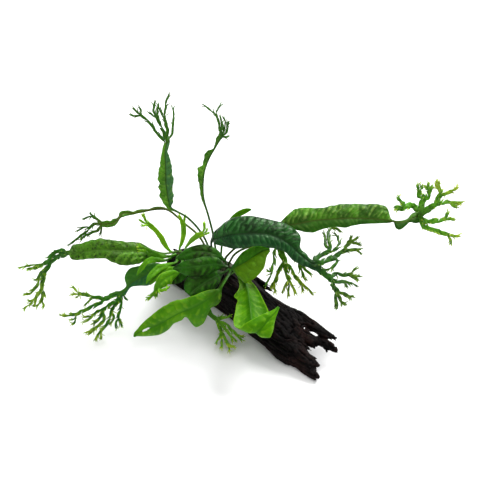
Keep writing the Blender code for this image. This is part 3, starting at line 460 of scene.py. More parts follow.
dullness = add_node(tree, "ShaderNodeMapRange", inputs={
    "Value": grain.outputs["Fac"], "To Min": 0.5, "To Max": 0.78,
})
tree.links.new(dullness.outputs["Result"], shader.inputs["Roughness"])
shader.inputs["Specular IOR Level"].default_value = 0.08
bump = add_node(tree, "ShaderNodeBump", inputs={
    "Height": grain.outputs["Fac"], "Strength": 0.8, "Distance": 0.4 * MM,
})
tree.links.new(bump.outputs["Normal"], shader.inputs["Normal"])

driftwood = add_piece("driftwood", bm, wood)
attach(driftwood, "root")
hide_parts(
    "driftwood_trunk", "driftwood_upper_prong", "driftwood_middle_prong",
    "driftwood_lower_prong",
)


# --- Rhizome --------------------------------------------------------------------------------------
# The creeping stem, a green-brown rod about 5 mm thick, overlapped by small dark scales. Wiry dark
# roots come out under it and hold on to the wood.

RHIZOME_ROUTE = [
    (177, 254, 27.6), (190, 256.5, 31), (205, 260, 33.4), (220, 264.5, 34.4), (236, 270, 33.8),
]
RHIZOME_RADIUS = 2.6 * MM
RHIZOME_SIDES = 16
RHIZOME_SWELLINGS = 400         # to the metre
SCALE_COUNT = 150
SCALE_LENGTH = 1.9 * MM
SCALE_HALF_WIDTH = 0.55 * MM
ROOT_COUNT = 46
ROOT_RADIUS = 0.24 * MM
ROOT_SIDES = 5
ROOT_STRIDE = 1.7               # mm that a root creeps between two bends
STEM_MOTTLE = 2.38 * MM         # size of the stem's brown and green spots


def rhizome_point(share):
    """A place on the rhizome's middle line, and the line's direction there."""
    route = [spot(*place) for place in RHIZOME_ROUTE]
    span = min(int(share * (len(route) - 1)), len(route) - 2)
    part = share * (len(route) - 1) - span
    return route[span].lerp(route[span + 1], part), (route[span + 1] - route[span]).normalized()


def round_ring(centre, direction, radius, sides):
    """Places round a line, the first one highest."""
    across = direction.cross(Vector((0, 0, 1))).normalized()
    upward = across.cross(direction)
    return [
        centre + (across * sin(2 * pi * i / sides) + upward * cos(2 * pi * i / sides)) * radius
        for i in range(sides)
    ]


def bend_directions(route):
    """The direction of a route at each of its places."""
    last = len(route) - 1
    return [(route[min(i + 1, last)] - route[max(i - 1, 0)]).normalized() for i in range(last + 1)]


bm = bmesh.new()
route = [Vector(row) for row in flow([spot(*place) for place in RHIZOME_ROUTE], 1.0 * MM)]
rings = []
for i, (centre, direction) in enumerate(zip(route, bend_directions(route))):
    end = min(i, len(route) - 1 - i)
    swell = 0.95 + 0.05 * noise.noise(centre * RHIZOME_SWELLINGS) + 0.03 * sin(i * 1.9)
    radius = RHIZOME_RADIUS * swell * min(1, 0.4 + 0.25 * end)
    rings.append(round_ring(centre, direction, radius, RHIZOME_SIDES))
add_tube(bm, rings)
chance = random.Random(5)
for _ in range(SCALE_COUNT):
    centre, direction = rhizome_point(chance.random())
    turn = chance.uniform(0, 2 * pi)
    across = direction.cross(Vector((0, 0, 1))).normalized()
    outward = across * sin(turn) + across.cross(direction) * cos(turn)
    sideways = direction.cross(outward)
    foot = centre + outward * RHIZOME_RADIUS * 0.93
    scale = bmesh.ops.create_cone(
        bm, cap_ends=True, segments=5, radius1=SCALE_HALF_WIDTH, radius2=0.08 * MM, depth=SCALE_LENGTH,
    )["verts"]
    lean = (direction + outward * chance.uniform(0.1, 0.35)).normalized()
    flattened = Matrix((sideways, lean.cross(sideways) * 0.35, lean)).transposed().to_4x4()
    middle = Matrix.Translation(foot + lean * SCALE_LENGTH * 0.4)
    bmesh.ops.transform(bm, matrix=middle @ flattened, verts=scale)
for _ in range(ROOT_COUNT):
    centre, direction = rhizome_point(chance.uniform(0.02, 0.98))
    sideways = direction.cross(Vector((0, 0, 1))).normalized() * chance.choice((-1, 1))
    heading = (sideways + direction * chance.uniform(-0.9, 0.9)).normalized()
    place = centre + sideways * RHIZOME_RADIUS * 0.7 - Vector((0, 0, 1.2 * MM))
    route = [place]
    for _ in range(chance.randint(5, 11)):
        bend = Vector((chance.uniform(-1, 1), chance.uniform(-1, 1), -0.45)) * 0.4
        heading = (heading + bend).normalized()
        _, on_wood, normal, _ = driftwood.closest_point_on_mesh(place + heading * ROOT_STRIDE * MM)
        place = on_wood + normal * ROOT_RADIUS * 1.1
        route.append(place)
    route = [Vector(row) for row in flow(route, 0.8 * MM)]
    add_tube(bm, [
        round_ring(centre, direction, ROOT_RADIUS * (1 - 0.6 * i / len(route)), ROOT_SIDES)
        for i, (centre, direction) in enumerate(zip(route, bend_directions(route)))
    ])
bmesh.ops.recalc_face_normals(bm, faces=bm.faces)

# Living stem tissue under dry scales, dull all over, mottled in dark brown and olive green
stem, tree, shader = start_material("scaly_fern_rhizome")
place = add_node(tree, "ShaderNodeTexCoord").outputs["Object"]
mottle = add_node(tree, "ShaderNodeTexNoise", inputs={
    "Vector": place, "Scale": 1 / STEM_MOTTLE, "Detail": 4.0,
})
tone = add_node(tree, "ShaderNodeMix", {"data_type": "RGBA"}, {
    0: mottle.outputs["Fac"], 6: linear("#1c150b"), 7: linear("#454a1e"),
})
tree.links.new(tone.outputs[2], shader.inputs["Base Color"])
shader.inputs["Roughness"].default_value = 0.62
bump = add_node(tree, "ShaderNodeBump", inputs={
    "Height": mottle.outputs["Fac"], "Strength": 0.6, "Distance": 0.15 * MM,
})
tree.links.new(bump.outputs["Normal"], shader.inputs["Normal"])

rhizome = add_piece("rhizome_with_roots", bm, stem)
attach(rhizome, "root")
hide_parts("rhizome")


# --- Upright fronds at the back -------------------------------------------------------------------
# Each frond is one leaf grown in a piece: a wiry stalk, a blade with a raised midrib, and a crest
# where the blade's end splits again and again into flat green strands. The two at the back stand
# nearly straight up.

# A frond is an open sheet, drawn on row by row from its root to its last tips, and gets its
# thickness at the end
STALK_HALF_WIDTH = 0.72         # mm
STALK_FOOT = 1.25               # a stalk's width where it leaves the rhizome, as a share of its width
STALK_DEPTH = 0.7               # where it begins, as a share of the rhizome's radius
TWIG_GROWTH = 0.3               # power of the number of tips that a strand's width grows with
TIP_HALF_WIDTH = 0.12           # mm
SHOOT_CHANCE = 0.8              # that a side shoot stands where there is room for one
RAGGED = 0.5                    # unevenness of a strand's margins, as a share of its width
RAGGED_NOTCHES = 430            # to the metre
STRAND_SWAY = 0.35 * MM
STRAND_BENDS = 260              # to the metre
FORK_SPREAD = 0.45              # width of a strand where it forks, as a share of its branches' widths
RIPENING = 0.1                  # how far a strand pales towards its tips' colour at each fork
FORK_ROOM = 0.45                # a strand's half width at a fork, as a share of the way to the next
RIB_THICKNESS = 1.35 * MM       # the midrib's and the stalk's; the rest of a frond is a share of it
RIB_TAPER = 0.6                 # of the midrib, from the rhizome to the blade's end
RIB_HALF_WIDTH = 0.55           # mm
BLADE_SHARE = 0.27              # thickness of a blade, as a share of the midrib's
BLADE_ARCH = 0.14               # rise of each half of a blade, as a share of its width
VEIN_SLANT = 0.62               # how far along a side vein runs for each step across
VEIN_WANDER = 0.55              # of the side veins' even spacing
BLADE_STEP = 0.85 * MM
STRAND_STEP = 1.0 * MM
SLIT_REACH = 0.6 * MM

# What a frond's finish reads at each of its vertices: the distances across from the midrib and along
# from the rhizome, in mm; how near the blade's margin, how much on the midrib, and how far out in
# the crest it is, and how strongly quilted, each from 0 to 1; and the count of side veins passed.
MARKS = ("across", "along", "edge", "rib", "crest", "quilted", "phase")


def left_of(direction):
    """The side that is on the left, seen by the viewer, of a route that runs in a direction."""
    return TOWARDS_VIEWER.cross(direction).normalized()


def tips_of(strand):
    """How many tips a strand of a crest ends in. A strand is its height, its spots, its branches."""
    branches = strand[2:]
    return sum(tips_of(branch) for branch in branches) if branches else 1


def with_spurs(hub, hub_height, strand, room, chance):
    """The same strand with the side shoots and the forked tips of a living crest.

    Turns are in degrees and lengths in steps of the layout.
    """
    height, spots, *branches = strand
    branches = [with_spurs(spots[-1], height, branch, room, chance) for branch in branches]
    corners = [Vector(place) for place in (hub, *spots)]

    def shoot(start, ahead, start_height, turn, length):
        tip = start + Matrix.Rotation(radians(turn), 2) @ ahead * length
        return (start_height + chance.uniform(-1.2, 1.2), [tuple(tip)])

    if not branches:
        run = corners[-1] - corners[-2]
        ahead = run.normalized()
        twig = min(chance.uniform(2.2, 4.2), run.length * 0.6)
        corners[-1] -= ahead * twig
        side = chance.choice((-1, 1))
        turns = [
            (-side * chance.uniform(2, 20), 1),
            (side * chance.uniform(28, 62), chance.uniform(0.6, 1.0)),
        ]
        if chance.random() < 0.45:
            turns.append((-side * chance.uniform(40, 75), chance.uniform(0.5, 0.8)))
        branches = [shoot(corners[-1], ahead, height, turn, twig * share) for turn, share in turns]
    whole = sum((end - start).length for start, end in zip(corners, corners[1:]))
    left = whole
    rest = (height, [], *branches)
    for start, end in reversed(list(zip(corners, corners[1:]))):
        run = end - start
        left -= run.length
        rest = (rest[0], [tuple(end), *rest[1]], *rest[2:])
        knots = round(run.length / room)
        for k in range(knots, 0, -1):
            if chance.random() > SHOOT_CHANCE:
                continue
            share = (k - 0.5 + chance.uniform(-0.2, 0.2)) / knots
            knot = start + run * share
            knot_height = hub_height + (height - hub_height) * (left + run.length * share) / whole
            turn = chance.choice((-1, 1)) * chance.uniform(25, 60)
            side_shoot = shoot(knot, run.normalized(), knot_height, turn, chance.uniform(2.6, 6.0))
            rest = (knot_height, [tuple(knot)], rest, side_shoot)
    return rest


class Frond:
    """A frond while it grows: a sheet, with what its finish reads marked on every vertex."""

    def __init__(self, quilt=(0.0, 0.0), pitch=4.0, broken=1.0, wave=0.6, wave_length=7.0, columns=16,
                 frill=0.0, twig=0.55, shoot_room=3.8, seed=1):
        self.bm = bmesh.new()
        self.marks = [self.bm.verts.layers.float.new(name) for name in MARKS]
        self.weights = self.bm.verts.layers.deform.verify()
        self.quilt = quilt              # mm, rise of the pillows on the left and the right half
        self.pitch = pitch              # mm from one side vein to the next
        self.broken = broken            # how unlike one another the pillows are, 0 to 1
        self.wave = wave                # mm, of the blade's margins up and down
        self.wave_length = wave_length  # mm
        self.columns = columns
        self.frill = frill              # unevenness of the margins, as a share of the half width
        self.twig = twig                # mm, half width of a strand that carries one tip
        self.shoot_room = shoot_room    # steps of the layout along a strand, for a side shoot on it
        self.seed = seed
        self.along = 0                  # mm that the frond has grown so far
        self.row = None                 # its open end

    def half_width(self, strand):
        """Of a strand of the crest, from the number of tips that it carries."""
        return self.twig * tips_of(strand) ** TWIG_GROWTH * MM

    def grow_row(self):
        """Extrudes the frond's open end. The new row still has to be put in place."""
        if self.row is None:
            self.row = [self.bm.verts.new() for _ in range(self.columns + 1)]
            for pair in zip(self.row, self.row[1:]):
                self.bm.edges.new(pair)
        else:
            self.row = extrude_row(self.bm, self.row, self.row[1:])

    def set_vert(self, vert, place, thickness, *marks):
        """Puts a vertex in place, with its share of the thickness and its marks, in their order."""
        vert.co = place
        vert[self.weights][0] = thickness
        for layer, value in zip(self.marks, marks):
            vert[layer] = value

    def relief(self, across, half, side):
        """How far a blade's surface stands out, in mm, at a distance across from its midrib.

        Also gives how strongly the blade is quilted there (0 to 1), and a count of the side veins
        passed, which is whole in every vein.
        """
        share = across / half
        swing = noise.noise(Vector((self.along / self.wave_length, side * 3.1, self.seed)))
        ripple = self.wave * 1.7 * swing * share * share * ease(half, 1, 6)
        wander = noise.noise(Vector((self.along / 6, across / 4.5, self.seed + side * 9)))
        phase = (self.along - VEIN_SLANT * across) / self.pitch + VEIN_WANDER * wander
        uneven = 0.6 + 1.2 * noise.noise(Vector((phase, across / 2.4, self.seed + side)))
        uneven = 1 + self.broken * (min(1, max(0, uneven)) - 1)
        bed = ease(share, 0.05, 0.26) * (1 - ease(share, 0.84, 1)) * ease(half, 1.5, 5)
        pillow = uneven * abs(sin(pi * phase)) ** 0.75
        depth = self.quilt[0 if side > 0 else 1]
        return ripple + depth * pillow * bed, bed * uneven * depth / max(self.quilt), phase

    def blade_row(self, left, middle, right, tangent, rib):
        """One row across the stalk or blade, from its left margin to its right one."""
        self.grow_row()
        normal = tangent.cross(left - right).normalized()
        half_columns = self.columns // 2
        for i, vert in enumerate(self.row):
            q = 1 - i / half_columns
            share = abs(q) ** 1.2
            margin = left if q > 0 else right
            half = (margin - middle).length / MM
            across = share * half
            relief, quilted, phase = self.relief(across, max(half, 0.1), 1 if q > 0 else -1)
            rise = BLADE_ARCH * 4 * share * (1 - share) * half * ease(half, 0.8, 2) + relief
            place = middle.lerp(margin, share) + normal * rise * MM
            cord = exp(-(across / RIB_HALF_WIDTH) ** 2) * rib
            thickness = (BLADE_SHARE + (1 - BLADE_SHARE) * cord) * (0.5 + 0.5 * sqrt(1 - share**2))
            edge = share * ease(half, 1, 3)
            on_rib = cord * (1 - ease(share, 0.5, 1) * ease(half, 1, 2))
            self.set_vert(
                vert, place, thickness, copysign(across, q), self.along, edge, on_rib, 0, quilted, phase,
            )

    def fork(self, row, came_from, hub, height, branches):
        """Shares a row among the strands that leave it, left to right, with the room of each.

        Every strand needs two edges of the row, so a row that is too short has its edges cut up.
        """
        heading = Vector((hub[0] - came_from[0], came_from[1] - hub[1]))

        def turn(strand):
            first = strand[1][0]
            aim = Vector((first[0] - hub[0], hub[1] - first[1]))
            return atan2(heading.x * aim.y - heading.y * aim.x, heading.dot(aim))

        branches = sorted(branches, key=turn, reverse=True)
        parts = ceil(2 * len(branches) / (len(row) - 1))
        for first, last in list(zip(row, row[1:])):
            cut = first
            for remaining in range(parts, 1, -1):
                cut = bmesh.utils.edge_split(self.bm.edges.get((cut, last)), cut, 1 / remaining)[1]
                row.insert(row.index(last), cut)
        shares = [2] * len(branches)
        while sum(shares) < len(row) - 1:
            hungriest = max(range(len(branches)), key=lambda i: tips_of(branches[i]) / shares[i])
            shares[hungriest] += 1
        starts = [spot(*branch[1][0], height) for branch in branches]
        between = [(b - a).length for a, b in zip(starts, starts[1:])]
        start = 0
        for i, (strand, share) in enumerate(zip(branches, shares)):
            room = FORK_ROOM * min(between[max(i - 1, 0):i + 1])
            yield row[start:start + share + 1], room, strand
            start += share

    def grow_strand(self, row, hub, start_height, came_along, room, age, strand):
        """Grows one strand of the crest, and the strands that it forks into.

        Its age runs from 0 at the blade to 1 at its tips, and its room is its widest half width at
        the fork that it comes from.
        """
        end_height, spots, *branches = strand
        steps = [Vector(b) - Vector(a) for a, b in zip([hub, *spots], spots)]
        whole = sum(step.length for step in steps)
        first, last = row[0].co.copy(), row[-1].co.copy()
        start_reach = (first - last) / 2
        points = [(first + last) / 2]
        gone = 0
        for (column, line), step in zip(spots, steps):
            gone += step.length
            points.append(spot(column, line, start_height + (end_height - start_height) * gone / whole))
        heading = (came_along + (points[1] - points[0]).normalized()).normalized()
        places = [Vector(p) for p in flow(points, STRAND_STEP, heading)]
        length = sum((b - a).length for a, b in zip(places, places[1:]))
        wide = self.half_width(strand)
        if branches:
            end_wide = max(wide, FORK_SPREAD * sum(map(self.half_width, branches)))
            end_age = age + (1 - age) * RIPENING
        else:
            end_wide = TIP_HALF_WIDTH * MM
            end_age = 1
        first_span = (points[1] - points[0]).length
        begun = self.along
        gone = 0
        for before, place, direction in zip(places, places[1:], bend_directions(places)[1:]):
            gone += (place - before).length
            share = gone / length
            half = wide + (min(wide, room) - wide) * (1 - ease(gone, 0, first_span))
            if branches:
                half += (end_wide - half) * ease(share, 0.6, 1)
            else:
                half = end_wide + (half - end_wide) * (1 - share**1.4)
            settle = ease(gone, 0, min(first_span * 0.8, 4 * MM))
            side = left_of(direction)
            reach = start_reach.lerp(side * half, settle)
            normal = direction.cross(reach).normalized()
            sway = STRAND_SWAY * noise.noise(place * STRAND_BENDS) * 4 * share * (1 - share)
            ragged = [
                1 + RAGGED * settle * noise.noise(place * RAGGED_NOTCHES + TO_RIGHT * k) for k in (0, 9)
            ]
            self.along = begun + gone / MM
            self.row = row
            self.grow_row()
            row = self.row
            for i, vert in enumerate(row):
                q = 1 - 2 * i / (len(row) - 1)
                bulge = 1 - q * q
                self.set_vert(
                    vert, place + side * sway + reach * q * ragged[q < 0] + normal * bulge * 0.12 * half,
                    0.3 + 0.22 * bulge,
                    q * half / MM, self.along, 0, 0, age + (end_age - age) * share, 0, 0,
                )
        if not branches:
            return
        came_from = spots[-2] if len(spots) > 1 else hub
        along = self.along
        for part, room, branch in self.fork(row, came_from, spots[-1], end_height, branches):
            self.along = along
            self.grow_strand(part, spots[-1], end_height, direction, room, end_age, branch)

    def slit(self, start, end):
        """Opens the blade along a line between two points, as the viewer sees it."""
        run = end - start
        torn = []
        for face in self.bm.faces:
            off = face.calc_center_median() - start
            off -= run * min(1, max(0, off.dot(run) / run.length_squared))
            off -= TOWARDS_VIEWER * off.dot(TOWARDS_VIEWER)
            if off.length < SLIT_REACH:
                torn.append(face)
        bmesh.ops.delete(self.bm, geom=torn, context="FACES_ONLY")

    def finish(self, name, node, slot, material):
        """Gives the sheet its thickness and smooth surface, and puts it in its node's place."""
        bmesh.ops.recalc_face_normals(self.bm, faces=self.bm.faces)
        piece = add_piece(name, self.bm, material)
        piece.vertex_groups.new(name="thickness")
        wall = piece.modifiers.new("thickness", "SOLIDIFY")
        wall.thickness = RIB_THICKNESS
        wall.offset = 0
        wall.vertex_group = "thickness"
        round_off = piece.modifiers.new("round off", "SUBSURF")
        round_off.levels = 1
        round_off.render_levels = 1
        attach(piece, "root")
        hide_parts(node)


def grow_frond(node, slot, material, root, stalk, blade, lean, crest=(), slit=None, **habit):
    """A whole frond: a stalk through spots, a blade through stations and the strands of a crest.

    Root is the share of the way along the rhizome. A station is a spot and the blade's half widths
    there in mm, left and right. Lean is how much the two halves of the blade turn to the viewer.
    """
    frond = Frond(**habit)
    centre, tangent = rhizome_point(root)
    out = spot(*stalk[0]) - centre
    out = (out - tangent * out.dot(tangent)).normalized()
    foot = centre + out * RHIZOME_RADIUS * STALK_DEPTH
    stations = [(*foot, STALK_HALF_WIDTH * STALK_FOOT, STALK_HALF_WIDTH * STALK_FOOT)]
    stations += [(*spot(*place), STALK_HALF_WIDTH, STALK_HALF_WIDTH) for place in stalk]
    stations += [(*spot(*place), left, right) for *place, left, right in blade]
    rows = flow(stations, BLADE_STEP)
    places = [Vector(row[:3]) for row in rows]
    headings = bend_directions(places)
    for i, (row, place, heading) in enumerate(zip(rows, places, headings)):
        side = left_of(heading)
        left, right = (
            max(width, 0.25) * (1 + frond.frill * ease(width, 0.8, 2) * noise.noise(
                Vector((frond.along / 3.2, 7 * column, frond.seed))))
            for column, width in ((3, row[3]), (4, row[4]))
        )
        reach_left = side * left * MM + TOWARDS_VIEWER * left * MM * lean[0] * ease(left, 0.7, 2)
        reach_right = TOWARDS_VIEWER * right * MM * lean[1] * ease(right, 0.7, 2) - side * right * MM
        rib = 1 - RIB_TAPER * i / len(rows)
        frond.blade_row(place + reach_left, place, place + reach_right, heading, rib)
        if i + 1 < len(rows):
            frond.along += (places[i + 1] - place).length / MM
    if slit:
        frond.slit(*(spot(*place) for place in slit))
    if crest:
        *hub, height = blade[-1][:3]
        chance = random.Random(frond.seed)
        strands = [with_spurs(hub, height, strand, frond.shoot_room, chance) for strand in crest]
        along = frond.along
        for part, room, strand in frond.fork(frond.row, blade[-2][:2], hub, height, strands):
            frond.along = along
            frond.grow_strand(part, hub, height, headings[-1], room, 0, strand)
    frond.finish(node.replace("frond_", "") + "_frond", node, slot, material)


# What a leaf's skin is patterned with: clouds of darker and lighter green, spots, a fine mottle that
# also makes the freckles, and the net of its finest veins
CLOUD_SIZE = 12 * MM
SPOT_SIZE = 3 * MM
MOTTLE_SIZE = 1.4 * MM
NET_SIZE = 1.25                 # mm, of the meshes between the veins
FRECKLE_TONE = "#10200a"


def fern_leaf(name, deep, main, painted_highlight, rib_tone, crest_tone, tip_tone, painted_highlight_share=0.5, vein_tone_and_shade_share=0.35,
              right_tone=None, right_share=0.0, base_tone=None, base_end=12, rim_tone_and_shade=None, freckles=0.0,
              roughness=0.42, gloss=0.28, gloss_tint=(0.75, 1, 0.35, 1)):
    """The skin of a living fern leaf: waxy, with highlights painted on the pillows that stand between its
    veins.
    """
    leaf, tree, shader = start_material(name)
    across, along, edge, rib, crest, quilted, phase = (
        add_node(tree, "ShaderNodeAttribute", {"attribute_name": mark}).outputs["Fac"] for mark in MARKS
    )
    place = add_node(tree, "ShaderNodeTexCoord").outputs["Object"]
    clouds, spots, mottle = (
        add_node(tree, "ShaderNodeTexNoise", inputs={
            "Vector": place, "Scale": 1 / size, "Detail": detail,
        }).outputs["Fac"]
        for size, detail in ((CLOUD_SIZE, 2.0), (SPOT_SIZE, 2.0), (MOTTLE_SIZE, 3.0))
    )
    net_place = add_node(tree, "ShaderNodeCombineXYZ", inputs={0: across, 1: along}).outputs["Vector"]
    net = add_node(tree, "ShaderNodeTexVoronoi", {"feature": "DISTANCE_TO_EDGE"}, {
        "Vector": net_place, "Scale": 1 / NET_SIZE,
    }).outputs["Distance"]

    # Where the leaf is between two side veins, and how far it has swelled up there
    turned = add_node(tree, "ShaderNodeMath", {"operation": "MULTIPLY"}, {0: phase, 1: pi}).outputs[0]
    swing = add_node(tree, "ShaderNodeMath", {"operation": "SINE"}, {0: turned}).outputs[0]
    swell = add_node(tree, "ShaderNodeMath", {"operation": "ABSOLUTE"}, {0: swing}).outputs[0]
    passed = add_node(tree, "ShaderNodeMath", {"operation": "FRACT"}, {0: phase}).outputs[0]
    off_rib = add_node(tree, "ShaderNodeMath", {"operation": "ABSOLUTE"}, {0: across}).outputs[0]
    in_blade = add_node(tree, "ShaderNodeMath", {"operation": "SUBTRACT"}, {0: 1, 1: crest}).outputs[0]
    fading, spotted, in_crest, rib_line, off_net = (
        add_node(tree, "ShaderNodeMapRange", {"interpolation_type": "SMOOTHSTEP"}, {
            "Value": value, "From Min": low, "From Max": high, "To Max": most,
        }).outputs["Result"]
        for value, low, high, most in (
            (passed, 1, 0.86, quilted), (spots, 0.36, 0.56, 1), (crest, 0, 0.1, 1),
            (off_rib, 0.75, 0.2, in_blade), (net, 0, 0.09, 1),
        )
    )
    # The painted highlight falls on one side of each pillow, broken up into spots
    lit = add_node(tree, "ShaderNodeMath", {"operation": "MULTIPLY"}, {0: fading, 1: spotted}).outputs[0]
    on_rib = add_node(tree, "ShaderNodeMath", {"operation": "MAXIMUM"}, {0: rib, 1: rib_line}).outputs[0]
    # How far the pillows bulge, which deepens the painted shade in the veins' furrows
    bulging = add_node(tree, "ShaderNodeMapRange", inputs={
        "Value": quilted, "From Max": 1 / 3,
    }).outputs["Result"]
    from_base, ripeness = (
        add_node(tree, "ShaderNodeMath", {"operation": "MULTIPLY_ADD"}, {
            0: pattern, 1: unevenness, 2: mark,
        }).outputs[0]
        for pattern, unevenness, mark in ((clouds, 12, along), (spots, 0.8, crest))
    )

    # The coats of colour, each over the last: its tone, how strong it is, the mark or pattern that it
    # follows with the values where it begins and is full, and what else it is weakened by
    color = linear(deep)
    for tone, strength, step, weight in (
        (main, 1, (clouds, 0.36, 0.64), None),
        (right_tone, right_share, (across, 0.35, -0.35), None),
        (base_tone, 0.8, (from_base, base_end + 9, base_end), None),
        # painted highlights on the pillows
        (painted_highlight, painted_highlight_share, (passed, 0.3, 0.72), lit),
        # the side veins' own tone, and painted shade in their furrows
        (rib_tone, vein_tone_and_shade_share, (swell, 0.42, 0.04), bulging),
        (FRECKLE_TONE, freckles, (mottle, 0.57, 0.65), None),
        (deep, 0.16, (net, 0.09, 0), None),
        # the rim's own tone, and on the centre leaves a dark rim of painted shade
        (rim_tone_and_shade, 1, (edge, 0.9, 1), None),
        (rib_tone, 0.85, None, on_rib),
        (crest_tone, 1, (crest, 0.02, 0.3), None),
        (deep, 0.6, (spots, 0.52, 0.4), in_crest),
        (tip_tone, 1, (ripeness, 0.95, 1.4), None),
    ):
        if not tone or not strength:
            continue
        share = strength
        if step:
            share = add_node(tree, "ShaderNodeMapRange", {"interpolation_type": "SMOOTHSTEP"}, {
                "Value": step[0], "From Min": step[1], "From Max": step[2], "To Max": strength,
            }).outputs["Result"]
        if weight:
            share = add_node(tree, "ShaderNodeMath", {"operation": "MULTIPLY"}, {
                0: share, 1: weight,
            }).outputs[0]
        color = add_node(tree, "ShaderNodeMix", {"data_type": "RGBA"}, {
            0: share, 6: color, 7: linear(tone),
        }).outputs[2]
    tree.links.new(color, shader.inputs["Base Color"])

    # Wax that is duller in spots, over tissue that lets a little light through
    polish = add_node(tree, "ShaderNodeMapRange", inputs={
        "Value": mottle, "To Min": roughness - 0.07, "To Max": roughness + 0.1,
    })
    tree.links.new(polish.outputs["Result"], shader.inputs["Roughness"])
    shader.inputs["Specular IOR Level"].default_value = gloss
    shader.inputs["Specular Tint"].default_value = gloss_tint
    shader.inputs["Subsurface Weight"].default_value = 0.12
    shader.inputs["Subsurface Radius"].default_value = (0.5, 1.0, 0.2)
    shader.inputs["Subsurface Scale"].default_value = 0.8 * MM
    sunk = add_node(tree, "ShaderNodeBump", inputs={
        "Height": off_net, "Strength": 0.5, "Distance": 0.1 * MM,
    })
    pits = add_node(tree, "ShaderNodeMath", {"operation": "MULTIPLY"}, {0: mottle, 1: 0.5}).outputs[0]
    dimples = add_node(tree, "ShaderNodeMath", {"operation": "MULTIPLY_ADD"}, {0: spots, 1: 1.6, 2: pits})
    skin = add_node(tree, "ShaderNodeBump", inputs={
        "Height": dimples.outputs[0], "Strength": 0.7, "Distance": 0.3 * MM,
        "Normal": sunk.outputs["Normal"],
    })
    tree.links.new(skin.outputs["Normal"], shader.inputs["Normal"])
    return leaf


# A full-grown leaf, waxy and plain green, a little bluer on its right half
back_leaf = fern_leaf(
    "mature_fern_leaf_back", "#306512", "#528f1c", "#8ab744", "#24480f", "#306214", "#5a4c1c",
    right_tone="#245a46", right_share=0.65, freckles=0.4,
)
grow_frond(
    "frond_back_left", "green_leaf", back_leaf, 0.56,
    stalk=[(208, 246, 41), (200, 231, 52), (188, 218, 61), (177, 211.5, 67)],
    blade=[
        (170, 207.5, 70, 1.6, 1.2), (168, 200, 75, 4.2, 3.9), (166.5, 190, 82, 4.6, 4.0),
        (165.5, 180, 90, 4.6, 5.2), (165.3, 170, 97, 4.2, 4.4), (165, 160, 104, 3.0, 3.4),
        (165, 150, 111, 1.8, 1.9), (166.5, 143, 116, 1.5, 2.2),
    ],
    lean=(0.5, -0.2),
    crest=[
        (131, [(161.5, 138), (156, 131.5), (151, 124.5), (141, 115.5)],
         (133, [(134, 116), (128.5, 113.5)]),
         (138, [(136, 111), (131.5, 106.5)]),
         (140, [(141, 110), (138, 105)])),
        (128, [(164, 133), (160, 124), (157, 118)],
         (133, [(152, 115), (147, 111)]),
         (143, [(153.5, 111), (154.5, 104), (156, 99)]),
         (141, [(157.5, 111), (158, 102)])),
        (130, [(168, 132), (166.3, 124), (165, 119)],
         (138, [(161.5, 113), (159, 106)]),
         (150, [(165, 111), (166.5, 101), (170, 91.5)])),
        (143, [(172, 134), (173.5, 122), (174, 113), (172, 104.5)]),
    ],
    quilt=(0.6, 0.6), wave=0.9, wave_length=4, frill=0.3, columns=12, shoot_room=8, seed=21,
)
grow_frond(
    "frond_back_right", "green_leaf", back_leaf, 0.7,
    stalk=[(216, 252, 40), (213.5, 236, 52), (209, 218, 66), (206, 208, 74)],
    blade=[
        (204.5, 203, 78, 1.0, 0.7), (203, 195, 84, 1.8, 0.7), (202.7, 188, 89, 1.9, 0.7),
        (203, 180, 95, 3.4, 0.7), (204, 172, 100, 3.9, 0.7), (206, 165, 105, 2.6, 0.7),
        (208.5, 159, 109, 2.9, 0.7), (211, 154, 112, 3.2, 0.7), (214, 149.5, 115, 0.9, 0.6),
        (216.5, 145, 118, 1.3, 0.6), (219, 140.5, 121, 2.0, 0.8), (221.5, 136.5, 124, 2.8, 1.1),
    ],
    lean=(0.35, -2.4),
    crest=[
        (140, [(220, 130), (218.5, 121), (216, 114)],
         (148, [(207, 107.5), (201, 103.5)]),
         (151, [(218, 109), (222.5, 102)])),
        (138, [(221.8, 129), (221.5, 120), (219.5, 114)]),
        (134, [(224, 130), (225, 121), (222.5, 115.5)]),
        (131, [(227, 131), (227.5, 125)],
         (136, [(226, 119)]),
         (134, [(230.5, 121)])),
        (124, [(227, 137), (230, 135)]),
    ],
    quilt=(0.2, 0.2), wave=0.7, wave_length=4, frill=0.45, columns=10, shoot_room=9, seed=22,
)


# --- Fronds at the left ---------------------------------------------------------------------------
# Three old fronds arch out to the left. The thin one is narrow and twisted, the broad one is
# quilted between its veins and freckled with age, and the dark one lies lowest. Their crests droop.

